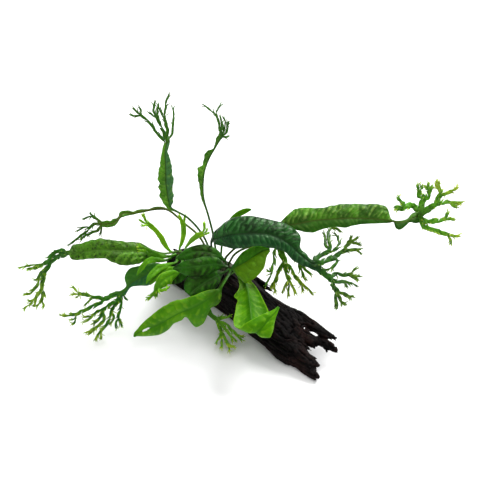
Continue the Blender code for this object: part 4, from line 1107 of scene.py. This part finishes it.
# A full-grown leaf of a dull green, with a brown midrib and dark freckles
thin_leaf = fern_leaf(
    "mature_fern_leaf_thin", "#24520c", "#437b14", "#689a25", "#4a4a1c", "#2a5e10", "#6a6a24",
    freckles=0.6,
)
grow_frond(
    "frond_thin_left", "green_leaf", thin_leaf, 0.47,
    stalk=[(205, 247, 39), (197, 234, 48), (184, 223, 53), (174, 214, 58), (168, 210, 61)],
    blade=[
        (162, 208.3, 64, 1.1, 1.1), (155, 208.5, 65, 1.2, 1.2), (149, 210, 65, 0.8, 0.8),
        (143, 210.8, 65, 1.2, 1.2), (138, 211.5, 65, 1.3, 1.2), (133, 213.3, 65, 1.0, 1.2),
        (127, 213, 65, 2.0, 1.9), (122, 214, 65, 2.2, 1.8), (119.3, 217.5, 64, 1.0, 0.9),
        (117, 220.5, 63, 1.2, 2.0), (113, 223.5, 62, 2.0, 2.4), (107, 224, 61, 2.3, 2.2),
        (102, 224, 60, 1.7, 1.7),
    ],
    lean=(0.5, 0.3),
    crest=[
        (60, [(97, 219.5), (93, 216.3)],
         (62, [(90.5, 214.5), (90, 211.5)]),
         (57, [(86, 218), (81, 220.5)])),
        (56, [(94, 224), (90, 227.5)],
         (52, [(83, 227.5), (79, 230), (75, 232.5)]),
         (46, [(86, 232), (80, 236), (74, 241), (66, 247)])),
        (54, [(98, 230), (92, 232.5), (88, 234.5)],
         (51, [(83, 236.8), (79, 243)]),
         (47, [(89.5, 238)])),
        (51, [(101, 230), (99.5, 238)]),
    ],
    quilt=(0.15, 0.15), wave=0.9, wave_length=3.4, frill=0.5, columns=10, shoot_room=8, seed=23,
)

# An old leaf: freckled nearly black all over its pillows, with a dull rim
broad_leaf = fern_leaf(
    "old_fern_leaf_freckled", "#234b0b", "#467e14", "#709e30", "#4a7424", "#24641a", "#86a82e",
    painted_highlight_share=0.55, freckles=0.85, rim_tone_and_shade="#385817",
)
grow_frond(
    "frond_broad_left", "green_leaf", broad_leaf, 0.16,
    stalk=[(179, 251.5, 35), (172, 252.5, 38), (165, 253.5, 40)],
    blade=[
        (159, 253.8, 42, 1.4, 1.4), (150, 252.3, 45, 5.0, 2.4), (138, 251.3, 48, 8.2, 5.8),
        (127, 251, 50, 9.4, 6.0), (116, 250.5, 51, 8.4, 6.4), (105, 250, 51, 5.6, 7.2),
        (94, 250.8, 50, 5.2, 7.4), (83, 252.3, 48, 4.6, 6.0), (75.5, 253, 46.2, 4.8, 5.6),
        (72, 252.8, 45.3, 4.2, 5.2), (69.6, 252.5, 44.6, 1.6, 1.6),
    ],
    lean=(0.15, -0.35),
    crest=[
        (36, [(62, 250.8), (56, 252), (50, 256.5), (45, 263)],
         (31, [(37, 265.3), (27, 266), (16.5, 268.5)]),
         (29, [(36, 268.5), (31, 268.3), (25, 270)])),
        (28, [(64, 254.5), (56, 257), (50, 262), (46, 270)],
         (20, [(41.5, 272.5), (38.5, 278)],
          (19, [(36, 280), (32.5, 279.5)]),
          (16, [(37, 286), (33, 290)],
           (15, [(28, 291)]),
           (13, [(30, 294), (21, 294.5)]))),
         (19, [(43.5, 277), (42, 284), (41.5, 289)],
          (11, [(38, 294), (35, 299)],
           (9, [(31, 301), (25, 301.5)]),
           (6, [(31, 304), (21.5, 310)]),
           (7, [(35, 304), (32, 308)])),
          (9, [(42.5, 295), (42, 300)],
           (6, [(38, 305), (34, 308)]),
           (5, [(44, 306), (41.5, 309.5)])),
          (13, [(44.5, 293), (45.5, 298.5)]))),
    ],
    quilt=(1.2, 1.2), pitch=4.4, wave=0.8, wave_length=6, frill=0.1, columns=18, twig=0.57, seed=24,
)

# An old leaf, smoother than the others: blue-green on its left half and grass-green on its right
low_leaf = fern_leaf(
    "old_fern_leaf_dark", "#184a22", "#286840", "#5d972d", "#3a6a20", "#2a6c12", "#90ae2c",
    right_tone="#33701a", right_share=0.85, roughness=0.36,
)
grow_frond(
    "frond_dark_left", "dark_leaf", low_leaf, 0.05,
    stalk=[(175, 262.5, 30.5), (170, 264.7, 31)],
    blade=[
        (165, 266.5, 31.6, 1.6, 1.6), (158, 269.2, 32.4, 4.8, 4.6), (150, 272.4, 33, 6.4, 5.8),
        (143, 275.7, 33, 7.2, 7.0), (136, 279.5, 32, 4.8, 8.2), (131, 283, 30.5, 3.0, 6.0),
        (128.5, 286.2, 29, 1.6, 1.7), (126, 289.5, 27.5, 1.6, 1.4), (122.5, 293, 26, 2.4, 2.0),
    ],
    lean=(-0.3, 0.3),
    crest=[
        (25, [(118, 293.5), (111, 296), (105, 299)],
         (25, [(98.5, 297.5), (93, 297)],
          (24, [(87, 295), (80, 293.8)],
           (23, [(75, 289), (71, 284.5)]),
           (21, [(74, 294), (68, 295)]),
           (20, [(78, 296.5), (74, 298)])),
          (17, [(87, 303), (83, 307)])),
         (16, [(99.5, 304), (88, 308.5), (77, 314)],
          (13, [(71, 314.5), (65, 316)],
           (12, [(58, 314)]),
           (13, [(64, 312)])),
          (11, [(75, 319)],
           (10, [(68, 320.5)]),
           (8, [(74, 323), (70, 326)])))),
        (18, [(117, 300), (109, 305.5), (103, 310)],
         (15, [(97, 311.5), (93, 315)],
          (14, [(86, 317), (80, 317.5)]),
          (12, [(88, 320.5), (80, 323)])),
         (11, [(100, 317), (96, 322)],
          (10, [(91, 321)]),
          (8, [(92, 327)])),
         (10, [(104, 316), (104, 321), (98, 326)],
          (7, [(90, 331), (83, 334.5)]),
          (6, [(92, 332), (87, 335.5)]))),
        (16, [(118, 301), (112, 309)],
         (9, [(110, 316), (107, 324), (101, 331)],
          (4, [(97.3, 335.5), (94, 342)]),
          (5, [(101, 337), (100.3, 341)])),
         (10, [(114, 318), (109, 326)])),
        (15, [(121, 301), (121, 307), (118.5, 315)],
         (8, [(116, 323), (116.5, 331)]),
         (9, [(119.5, 321), (123, 328.5)])),
        (23, [(125.5, 298.5), (129, 301)]),
    ],
    quilt=(0.6, 0.4), wave=0.5, wave_length=8, columns=18, twig=0.55, seed=25,
)


# --- Young fronds ---------------------------------------------------------------------------------
# Eight new fronds, thin, tender and a bright yellow-green, crowd round the rhizome's older end.
# Their tips have only begun to fork. Three of them stand up, and five lie down over the old leaves.

# A new leaf, thin and soft, yellow-green with a brighter rim. The three that stand up get a paler copy
# of it, painted light for the light that comes through them.
young_leaf = fern_leaf(
    "young_fern_leaf", "#3b7a08", "#559608", "#88bc24", "#437f10", "#78b018", "#aebc34",
    painted_highlight_share=0.6, base_tone="#347a0c", base_end=5, rim_tone_and_shade="#86bc22",
)
painted_lit_young_leaf = fern_leaf(
    "young_fern_leaf_painted_light", "#74b414", "#92c61e", "#b8d83c", "#6cae1a", "#9ccc26", "#c0cc44",
    painted_highlight_share=0.6, base_tone="#4a8c12", base_end=5, rim_tone_and_shade="#a8d034",
)
UPRIGHT_FRONDS = ("frond_young_1", "frond_young_2", "frond_young_3")
YOUNG_FRONDS = {
    "frond_young_1": dict(
        root=0.0, stalk=[(171, 251.5, 33)],
        blade=[
            (168.5, 249.5, 35, 1, 1), (165, 244.5, 38, 1.7, 1.6), (161, 237, 43, 2, 1.7),
            (156, 230.5, 47, 1.6, 1.4), (149, 224.5, 51, 1.7, 1.8),
        ],
        lean=(0.3, 0.3),
        crest=[
            (54, [(144, 226), (139.5, 225)]),
            (57, [(143, 222), (137.5, 219)]),
            (58, [(145.5, 219), (144, 216.5)],
             (60, [(140.5, 214)]),
             (61, [(143.5, 212)])),
        ],
    ),
    "frond_young_2": dict(
        root=0.1, stalk=[(179.5, 248, 36)],
        blade=[
            (181.5, 243.5, 39, 1.2, 1.2), (183.5, 235, 45, 1.8, 1.7), (183.5, 226, 54, 1.8, 1.7),
            (182.5, 220, 59, 2, 2),
        ],
        lean=(0.2, 0.2),
        crest=[(62, [(179.5, 216.5), (178, 214)]), (63, [(184.8, 216.5), (186.5, 214)])],
    ),
    "frond_young_3": dict(
        root=0.2, stalk=[(185.5, 248.5, 38)],
        blade=[
            (188, 244.5, 43, 1, 1), (193, 239, 49, 1.7, 1.7), (199, 235, 54, 2, 2),
            (203, 233.5, 56, 1.6, 1.6),
        ],
        lean=(0.2, 0.2),
        crest=[
            (62, [(204, 229.5), (204.3, 221)]), (60, [(206.5, 231), (207.5, 227)]),
            (56, [(207.5, 233.5), (211, 232)]),
        ],
    ),
    "frond_young_4": dict(
        root=0.02, stalk=[(170, 256, 35)],
        blade=[
            (166, 256.5, 38, 1.2, 1.2), (160, 256, 43.5, 1.8, 1.4), (153, 253.5, 48.5, 2.3, 1.8),
            (148, 251.8, 53, 2.2, 2.2),
        ],
        lean=(0.2, 0.2),
        crest=[(59, [(142, 250.8), (136.5, 250)]), (61, [(142, 246.8), (135.5, 244.3)])],
    ),
    "frond_young_5": dict(
        root=0.0, stalk=[(169, 259, 32)],
        blade=[
            (164, 260.5, 38, 1, 1), (158, 260.2, 45, 1.6, 1.7), (151, 260, 50, 2, 2),
            (146, 262.5, 50.5, 1.6, 1.8), (141.5, 268, 48, 1.6, 1.6), (138.5, 272.5, 45, 1, 1),
            (136.8, 275.5, 44, 0.3, 0.3),
        ],
        lean=(0.2, 0.2),
    ),
    "frond_young_6": dict(
        root=0.07, stalk=[(176, 262.5, 37)],
        blade=[
            (171, 264, 40.5, 1, 1), (164.5, 266, 43, 2, 1.8), (158, 268.7, 44, 2.6, 2.3),
            (153, 273, 43.5, 2.3, 2.1), (149, 278.5, 42, 1.6, 1.6), (146, 284, 40, 0.3, 0.3),
        ],
        lean=(0.2, 0.2),
    ),
    "frond_young_7": dict(
        root=0.25, stalk=[(182, 268, 39)],
        blade=[
            (178, 272, 41, 1.4, 1.4), (171, 275, 42, 3.6, 3.1), (165, 278.4, 41.5, 4.9, 3.9),
            (160.5, 282.8, 40, 3.9, 3.4), (157.5, 288, 38, 2.3, 2.1),
        ],
        lean=(-0.2, 0.2),
        crest=[
            (38, [(161, 291), (166, 289), (169.5, 285)]),
            (32, [(156.5, 294), (155.5, 299)]),
            (31, [(152.5, 294.5), (145, 301)]),
        ],
    ),
    "frond_young_8": dict(
        root=0.165, stalk=[(180, 266, 37)],
        blade=[
            (175, 268, 38, 1.2, 1.2), (168, 270.3, 39.6, 2.1, 2.1), (160.5, 273.4, 40.6, 2.9, 2.6),
            (155, 278, 39.8, 2.3, 2.2), (151.3, 282.6, 38.4, 1.2, 1.2), (149.8, 285, 37.6, 0.3, 0.3),
        ],
        lean=(0.2, 0.2),
    ),
}
for number, (node, habit) in enumerate(YOUNG_FRONDS.items()):
    upright = node in UPRIGHT_FRONDS
    grow_frond(
        node, "bright_leaf", painted_lit_young_leaf if upright else young_leaf, frill=0.3, quilt=(0.12, 0.12),
        wave=0.35, wave_length=5, columns=8, twig=0.6 if upright else 0.8, shoot_room=9,
        seed=30 + number, **habit,
    )


# --- Dark leaves in the centre --------------------------------------------------------------------
# Four short, broad, dark leaves lie over one another above the rhizome. They have no crest: each
# ends in a plain point.

# An old leaf: black-green between its pillows, which carry painted highlights, freckled, with little
# shine, and a dark rim that is painted shade
centre_leaf = fern_leaf(
    "old_fern_leaf_centre", "#0a2a03", "#1f5a0a", "#3f8020", "#2a5a1c", "#1e5714", "#2f7034",
    painted_highlight_share=0.6, freckles=0.5, rim_tone_and_shade="#0e3206", gloss=0.2,
)
CENTRE_LEAVES = {
    "frond_centre_back": dict(
        root=0.83, stalk=[(226, 262, 42)],
        blade=[
            (222.5, 258.5, 45, 1.2, 1.0), (215, 254.5, 48, 4.6, 3.6), (206, 252, 49.5, 6.0, 4.8),
            (197, 252, 49.5, 6.0, 4.4), (188, 254, 48, 4.6, 3.6), (181, 257, 46, 2.2, 2.0),
            (177, 259, 44.5, 0.5, 0.5),
        ],
        lean=(0.2, -0.5),
    ),
    "frond_centre_upper": dict(
        root=0.87, stalk=[(227, 266.5, 42)],
        blade=[
            (224, 266, 46, 1.2, 1.2), (216, 264.5, 50, 4.4, 4.6), (206, 265, 52.5, 6.4, 5.6),
            (196, 266.5, 53, 6.6, 5.2), (186, 267.5, 52, 5.2, 4.4), (178, 268, 50, 2.4, 2.4),
            (173, 268.5, 48, 0.5, 0.5),
        ],
        lean=(-0.25, -0.35),
    ),
    "frond_centre_lower": dict(
        root=0.905, stalk=[(225.5, 271.5, 39)],
        blade=[
            (222, 273, 40, 1.4, 1.4), (215, 276.5, 42, 5.4, 5.6), (207, 281, 42, 7.4, 8.4),
            (199.5, 286, 41, 7.6, 9.4), (193, 291, 39.5, 5.4, 8.0), (189, 295.5, 38, 1.8, 3.4),
        ],
        lean=(-0.3, -0.35),
    ),
    "frond_centre_left": dict(
        root=0.35, stalk=[(193.5, 262.5, 34.8)],
        blade=[
            (190, 265.6, 33.6, 1.2, 1.0), (184, 270.4, 32.6, 4.4, 2.8), (177.5, 273.8, 31.8, 6.0, 3.4),
            (171, 277, 30.8, 5.4, 3.8), (166, 280.6, 29.6, 3.4, 2.8), (163, 283.8, 28.8, 0.8, 0.8),
        ],
        lean=(-0.1, -0.2),
    ),
}
for number, (node, habit) in enumerate(CENTRE_LEAVES.items()):
    grow_frond(
        node, "dark_leaf", centre_leaf, quilt=(0.6, 0.6), pitch=4.6, wave=0.5, wave_length=8, columns=16,
        seed=40 + number, **habit,
    )


# --- Bright leaves in front -----------------------------------------------------------------------
# Four tender leaves of a fresh yellow-green with a paler rim: the long lobed one at the lower left,
# which has a slit near its end, the broad one right of the centre, the small one at the top,
# and the one that hangs over the wood with its end folded up over itself.

# A fresh leaf: smooth, bright and evenly green, with faint veins, and darker near its stalk
FRESH_TONES = ("#337204", "#4e8b05", "#86b428", "#2a640c", "#5fae1e", "#a9bf3a")
front_leaf = fern_leaf(
    "fresh_fern_leaf", *FRESH_TONES, painted_highlight_share=0.38, vein_tone_and_shade_share=0.25, rim_tone_and_shade="#689e0f",
    base_tone="#2c5206", base_end=24, roughness=0.4, gloss=0.17, gloss_tint=(0.85, 1, 0.2, 1),
)
lobed_leaf = fern_leaf(
    "fresh_fern_leaf_lobed", *FRESH_TONES, painted_highlight_share=0.38, vein_tone_and_shade_share=0.25, rim_tone_and_shade="#689e0f",
    base_tone="#274c06", base_end=40, roughness=0.4,
)
grow_frond(
    "frond_front_left", "bright_leaf", lobed_leaf, 0.94,
    stalk=[(228.5, 275, 40), (225.5, 280.5, 43), (221.5, 287, 43)],
    blade=[
        (220, 289.6, 41.6, 1.2, 1.1), (217, 292.7, 40.8, 4.2, 2.8), (212.5, 296.2, 39.6, 6.4, 4.6),
        (205.5, 300.6, 37.8, 6.2, 5.8), (199.5, 304.1, 36.2, 9.4, 6.6), (194.5, 306.7, 34.9, 12.2, 7.0),
        (190, 308.6, 33.7, 12.8, 7.2), (186.6, 310, 32.9, 11.0, 7.5), (184.4, 310.9, 32.3, 4.6, 7.8),
        (178, 313.6, 30.5, 5.0, 8.6), (170, 318, 28, 4.4, 8.6),
        (163, 322, 25.5, 6.2, 8.0), (155, 326, 23, 6.2, 7.0), (147, 329, 20.5, 5.2, 5.2),
        (140, 331.7, 18.5, 3.4, 2.6), (135.5, 334.5, 17, 1.6, 1.4), (134, 337, 16, 0.4, 0.4),
    ],
    lean=(-0.45, 0.15), slit=((149, 328, 21), (143.5, 330.6, 19.5)),
    quilt=(0.6, 0.6), pitch=5.0, wave=0.7, wave_length=9, frill=0.06, columns=20, seed=51,
)

# The same, but yellower on its right half and bluish near its stalk
side_leaf = fern_leaf(
    "fresh_fern_leaf_side", "#2c7007", "#3f890a", "#65a221", "#28600c", "#5fae1e", "#a8a23c",
    vein_tone_and_shade_share=0.25, right_tone="#6f9410", right_share=0.5, rim_tone_and_shade="#678711", freckles=0.25,
    base_tone="#1c5a34", base_end=13,
)
grow_frond(
    "frond_front_right", "bright_leaf", side_leaf, 0.97,
    stalk=[(232.8, 270, 38)],
    blade=[
        (232.2, 268.6, 42.4, 1.1, 1.6), (234, 267.6, 44, 1.8, 7.6), (236.8, 266.2, 45.6, 3.0, 12.2),
        (240.5, 264.4, 47.5, 4.6, 12.4), (246, 261.4, 50, 6.0, 12.0), (252, 257.4, 52.5, 6.2, 10.8),
        (258, 253.4, 54.5, 5.4, 8.8), (264, 250.6, 56, 3.4, 5.0), (270, 249.4, 57, 0.9, 1.2),
    ],
    lean=(0.1, 0.25), quilt=(0.6, 0.6), pitch=5.0, wave=0.7, wave_length=8, columns=20, seed=52,
)
grow_frond(
    "frond_bright_top", "bright_leaf", front_leaf, 0.74,
    stalk=[(221, 255, 38.5), (222.5, 240, 48), (227, 226, 59)],
    blade=[
        (230, 220.5, 64, 0.9, 0.9), (235, 216.5, 66, 1.7, 1.6), (241, 213, 68, 2.0, 1.8),
        (247, 210.5, 69.5, 1.6, 1.4), (251.5, 209.3, 70.5, 0.4, 0.4),
    ],
    lean=(0.3, 0.2), quilt=(0.15, 0.15), wave=0.5, wave_length=4, columns=10, seed=53,
)

# Rows of spots across the folded leaf: right margin, midrib and left margin. Its crease runs along
# the bottom, and past it the leaf turns up towards the right and shows its underside.
FOLDED_ROOT = 1.0
FOLDED_STALK = (237, 273, 36.2)
FOLDED_ROWS = [
    ((239.4, 273.2, 35.6), (238.2, 274.2, 36), (237, 275.2, 35.6)),
    ((246.5, 276.5, 34.4), (242, 278.6, 35.6), (238.5, 280.6, 34.6)),
    ((253, 283, 34.4), (246, 284.6, 36), (239.5, 286.2, 34.8)),
    ((258, 289.5, 34.6), (247.6, 290.6, 36.4), (237, 291.6, 35)),
    ((260.8, 294.5, 34.6), (248.4, 295.6, 36.4), (233.8, 296.4, 35)),
    ((263, 299, 34.4), (249, 299.8, 36.2), (237.6, 300.2, 35.2)),
    ((265.4, 304, 33.8), (249.6, 304.4, 36), (236.2, 304.8, 35)),
    ((268.6, 311.2, 32.8), (250.4, 310.4, 35.4), (235.2, 311.4, 34.8)),
    ((271.5, 323, 31), (251.5, 319.4, 34.2), (233.4, 320.8, 34)),
    ((272, 331.5, 30), (253.5, 327.4, 33), (235, 326.6, 33.2)),
    ((270.6, 337, 30.8), (256, 332.6, 33.4), (240, 327.6, 34.8)),
    ((273.2, 331, 34.2), (262, 327.4, 37), (246.5, 322.6, 38.8)),
    ((275.2, 320, 38.8), (269.5, 318.8, 40.4), (261.5, 314.8, 41.4)),
    ((278, 311.8, 42.4), (276.2, 311.2, 42.8), (273.6, 309.6, 43)),
    ((279.8, 307.6, 43.6), (278.8, 307, 43.8), (277.6, 306.2, 43.6)),
]
frond = Frond(quilt=(0.6, 0.6), pitch=5.0, wave=0.3, wave_length=8, columns=20, seed=54)
centre, _ = rhizome_point(FOLDED_ROOT)
out = (spot(*FOLDED_STALK) - centre).normalized()
stations = []
for middle in (centre + out * RHIZOME_RADIUS * STALK_DEPTH, spot(*FOLDED_STALK)):
    side = left_of(out) * STALK_HALF_WIDTH * MM
    stations.append((*middle, *(middle + side), *(middle - side)))
for right, middle, left in FOLDED_ROWS:
    stations.append((*spot(*middle), *spot(*left), *spot(*right)))
rows = flow(stations, BLADE_STEP)
places = [Vector(row[:3]) for row in rows]
for i, (row, heading) in enumerate(zip(rows, bend_directions(places))):
    rib = 1 - RIB_TAPER * i / len(rows)
    frond.blade_row(Vector(row[3:6]), places[i], Vector(row[6:9]), heading, rib)
    if i + 1 < len(rows):
        frond.along += (places[i + 1] - places[i]).length / MM
frond.finish("folded_frond", "frond_folded", "bright_leaf", front_leaf)


# --- Arching frond --------------------------------------------------------------------------------
# A big, broad leaf, the oldest, arches over the middle. Its blade stands up in narrow pillows
# between its side veins, and its end bursts into a wide crest.

# An old, thick leaf: deep green in its furrows, partly as painted shade, with a cool highlight painted on
# its pillows
arching_leaf = fern_leaf(
    "old_fern_leaf_quilted", "#072806", "#114a0e", "#50904c", "#0e2e10", "#2b6015", "#6c8c25",
    painted_highlight_share=0.42, vein_tone_and_shade_share=0.6, right_tone="#0a3e20", right_share=0.5, roughness=0.34, gloss=0.27,
    gloss_tint=(0.7, 1, 0.6, 1),
)
grow_frond(
    "frond_arching", "dark_leaf", arching_leaf, 0.63,
    stalk=[(214, 254, 41), (211.5, 247, 49)],
    blade=[
        (212, 241, 57, 1.2, 1.1), (217, 238.8, 62, 4.6, 4.6), (224, 236.4, 66, 7.6, 7.2),
        (232, 234.8, 69, 10.0, 9.0), (242, 234, 71, 11.4, 9.0), (252, 233.8, 72, 11.4, 8.0),
        (262, 234, 72, 10.2, 7.8), (272, 235.3, 71, 9.8, 8.2), (280, 238.4, 69.2, 10.0, 7.2),
        (287, 242.6, 66.6, 9.8, 6.0), (292, 246.6, 64.2, 8.2, 5.6), (295.5, 250, 62.4, 4.0, 5.8),
        (299, 253.4, 60.6, 2.8, 6.0), (303, 257, 58.8, 3.2, 5.2), (307, 260.4, 57, 2.2, 4.6),
        (311, 263.4, 55.4, 2.4, 3.2),
    ],
    lean=(-0.45, 0.1),
    crest=[
        (55, [(317, 257.5), (324, 253.5), (331, 250)],
         (54, [(325.5, 246), (325, 236), (322.5, 230)]),
         (56, [(329, 241), (328, 232.5), (331, 227.6), (337, 229), (343, 233)]),
         (56, [(337, 249), (340, 243), (337.5, 236), (331.5, 231)])),
        (52, [(320.5, 262.5), (329, 259), (335.5, 256.8)],
         (52, [(339, 254), (342, 251.5)],
          (54, [(346, 246), (349, 243)],
           (58, [(351, 238), (352.5, 234)]),
           (56, [(355, 239.5), (360, 236)]),
           (53, [(356, 243.5), (363, 245.5)])),
          (50, [(350, 250.3), (356, 249.5)],
           (50, [(364, 249)]),
           (47, [(360, 252.5), (363, 255.5)]))),
         (49, [(337.4, 260.6), (334.6, 265), (331, 268.6)],
          (47, [(326.5, 270), (321.5, 269)]),
          (47.5, [(333.8, 271.5)]))),
        (47, [(317, 268), (324, 273), (330, 279)],
         (46, [(335, 273.5), (343, 275.5), (349, 274)],
          (50, [(354, 270), (359, 265.5)]),
          (44, [(356, 276.5), (363, 276)]),
          (42, [(356, 278.8), (360, 280.5)])),
         (41, [(336, 282), (344, 281.5)],
          (36, [(351, 283), (359, 287.5)]),
          (36, [(346, 285), (348, 289)])),
         (35, [(333, 286), (337.5, 291)],
          (35, [(343, 293.5), (349, 296)],
           (35, [(356, 297)]),
           (33, [(352, 301)])),
          (28, [(339, 298), (341, 302)],
           (26, [(345, 303.5), (347, 306)]),
           (25, [(342, 307)])),
          (27, [(335.5, 298), (336.5, 303)],
           (24, [(333.5, 309)]),
           (23, [(336.5, 311)])))),
    ],
    quilt=(1.5, 0.8), pitch=3.9, broken=0.35, wave=0.8, wave_length=8, columns=22, twig=0.64, seed=61,
)


# --- Long frond at the right ----------------------------------------------------------------------
# A long, even blade reaches out to the right on a bowed stalk, and past a pinched neck it opens
# into a lively tuft of pale strands.

# A full-grown leaf: highlights painted pale on its pillows, a brownish midrib, and a right half in a
# darker green
long_leaf = fern_leaf(
    "mature_fern_leaf_long", "#255212", "#47821a", "#9ac058", "#3a4a14", "#4f921c", "#a4b636",
    painted_highlight_share=0.5, vein_tone_and_shade_share=0.5, right_tone="#104908", right_share=0.75, rim_tone_and_shade="#2c6511",
)
grow_frond(
    "frond_long_right", "green_leaf", long_leaf, 0.79,
    stalk=[(227, 256, 40), (238, 246, 49), (255, 236, 58), (271, 228, 63.5)],
    blade=[
        (279, 225.5, 65, 1.4, 1.2), (287, 225, 66, 6.0, 2.2), (295, 224.5, 67, 9.4, 3.6),
        (304, 222.6, 68, 9.8, 6.4), (313, 220.8, 69, 8.6, 7.4), (323, 219.8, 70, 7.8, 5.8),
        (334, 219.2, 70.5, 9.0, 5.0), (345, 218.6, 70.5, 9.5, 5.8), (357, 218.4, 70, 9.4, 4.2),
        (369, 218.9, 69, 9.7, 3.2), (380, 219.6, 68, 9.6, 2.5), (386, 220.3, 67.5, 8.0, 1.9),
        (390, 221, 67, 2.2, 1.3), (394, 221.3, 66.7, 0.7, 0.7), (398.5, 222.8, 66.4, 1.4, 4.6),
        (404, 222.2, 66, 1.4, 2.8), (409, 220.3, 66, 1.6, 1.4), (413.5, 218.3, 66, 3.2, 3.6),
        (418, 216.3, 66, 3.2, 4.0),
    ],
    lean=(-0.3, 0.2),
    crest=[
        (71, [(415.5, 206.5), (411, 205), (407.5, 206)],
         (73, [(403, 206.5), (397, 207), (392, 208.5)]),
         (79, [(402.5, 203), (398.5, 199), (396.5, 194.5)]),
         (69, [(403, 209.8), (399, 209.2), (394.5, 211.5)])),
        (78, [(421, 208.5), (422, 202.5)],
         (83, [(419.3, 197), (419.5, 191)],
          (90, [(418, 187), (417, 182)]),
          (89, [(422, 188), (420, 183)]),
          (86, [(416, 190)])),
         (80, [(424, 197.5), (422.7, 192.5)]),
         (84, [(427.5, 198), (429.5, 191)],
          (89, [(425.5, 187.5), (422.5, 185)]),
          (91, [(428.5, 186), (427.5, 181)]),
          (88, [(432, 188), (433.5, 184.5)]))),
        (76, [(425.5, 211), (433, 206)],
         (80, [(437, 200.5), (440, 196)],
          (89, [(439.5, 190), (437.5, 184)],
           (94, [(435, 178.5)]),
           (93, [(438, 179.5)]),
           (92, [(441, 181.5)])),
          (82, [(446, 193.5), (452, 191.3)],
           (85, [(456, 188.5), (459, 185.5)]),
           (81, [(453, 194)]))),
         (73, [(440, 203), (448, 202)],
          (73, [(455, 202.6), (459, 202.2), (463.5, 204)]),
          (71, [(453, 205.5), (459.5, 208)]))),
        (63, [(427, 221.5), (436, 221.3), (444, 219)],
         (65, [(447, 214.5), (450.5, 211)]),
         (61, [(450, 219), (457, 219.3)])),
        (57, [(424, 226.5), (430, 229), (439, 231.5), (447, 234.3)],
         (55, [(454, 236), (462, 236.2)]),
         (52, [(450.5, 240), (450.8, 246.5)])),
    ],
    quilt=(1.6, 0.35), pitch=3.4, wave=0.6, wave_length=9, frill=0.05, columns=20, twig=0.76,
    shoot_room=3.4, seed=62,
)


# --- Hanging frond and small front frond ----------------------------------------------------------
# Two fronds that are nearly all crest: one hangs its strands under the arching leaf, the other
# spreads low in front of the log.

# Plain green strands that go olive towards their tips
hanging_leaf = fern_leaf(
    "mature_fern_leaf_hanging", "#1c4a0c", "#2f6c0f", "#4d8a1e", "#2c3a10", "#467a12", "#96aa2e",
)
grow_frond(
    "frond_hanging", "green_leaf", hanging_leaf, 0.88,
    stalk=[(229.5, 262.5, 40), (234, 255, 45), (241, 250, 48), (251, 246.5, 50)],
    blade=[
        (258, 245, 51, 1.6, 1.6), (265, 243.5, 52, 2.8, 2.6), (272, 243.5, 52, 3.4, 3.0),
        (278, 245, 51.5, 3.0, 2.6),
    ],
    lean=(0.1, -0.2),
    crest=[
        (47, [(285, 247.5), (290, 252), (297, 260)],
         (40, [(300, 268), (303, 275)],
          (36, [(307.5, 282)]),
          (38, [(301, 279)])),
         (43, [(305, 269.5), (313, 275.5)])),
        (44, [(281.5, 253), (284.5, 260)],
         (34, [(289, 266.5), (294, 275), (300, 282)],
          (28, [(302, 288), (304.5, 293.5)]),
          (27, [(306.5, 287.5), (314, 296)])),
         (33, [(285.8, 269.5), (288.5, 279)],
          (27, [(292, 286), (297, 296.5)]),
          (25, [(288.5, 288), (288, 299)]),
          (26, [(286, 284), (282, 294.5)])),
         (34, [(282, 265), (277.5, 273), (276, 280)],
          (28, [(274, 288), (277.5, 294.5)]),
          (28, [(272, 285), (271, 290.5)]))),
        (44, [(274.5, 251), (274.5, 262), (271.5, 272)],
         (44, [(265, 270)]),
         (32, [(269, 279), (264.5, 288)])),
    ],
    quilt=(0.2, 0.2), wave=0.4, wave_length=6, columns=12, twig=0.62, shoot_room=5, seed=63,
)

# The same, but paler
small_leaf = fern_leaf(
    "mature_fern_leaf_small", "#2a600e", "#3f8212", "#60a022", "#2c4a10", "#66a01e", "#bccb48",
)
grow_frond(
    "frond_small_front", "green_leaf", small_leaf, 0.98,
    stalk=[(225.5, 279, 34), (217, 291, 30), (208, 301, 24)],
    blade=[
        (206, 306, 20, 1.2, 1.2), (207.5, 311, 16.5, 2.4, 1.8), (211.5, 315.5, 13.5, 1.4, 1.4),
        (215, 318, 12, 1.6, 1.6),
    ],
    lean=(0.2, 0.2),
    crest=[
        (13, [(222.5, 317.6), (228, 317), (233, 314.6)]),
        (8.5, [(224.5, 323), (231, 329.5), (236.5, 334.5)],
         (7.5, [(241, 336.2), (246, 337.5)]),
         (6.5, [(240, 338.5), (243, 342.3)])),
        (7, [(222, 324.8), (226.8, 330.8), (231, 336.5)],
         (5.5, [(235, 339.5), (237.5, 342.5)]),
         (5, [(233, 344.5)])),
        (6.5, [(218.4, 323.5), (220.6, 329.5)],
         (5, [(223.8, 336), (226.5, 341.5)],
          (4, [(231, 345.8), (237, 347)]),
          (3.5, [(228.8, 347.5), (230.8, 354)])),
         (5.5, [(220.8, 335.5)],
          (4, [(221.8, 343), (221.5, 351)]),
          (4.5, [(217.4, 340), (215.5, 345.5)]))),
    ],
    quilt=(0.2, 0.2), wave=0.4, wave_length=6, columns=12, seed=64,
)
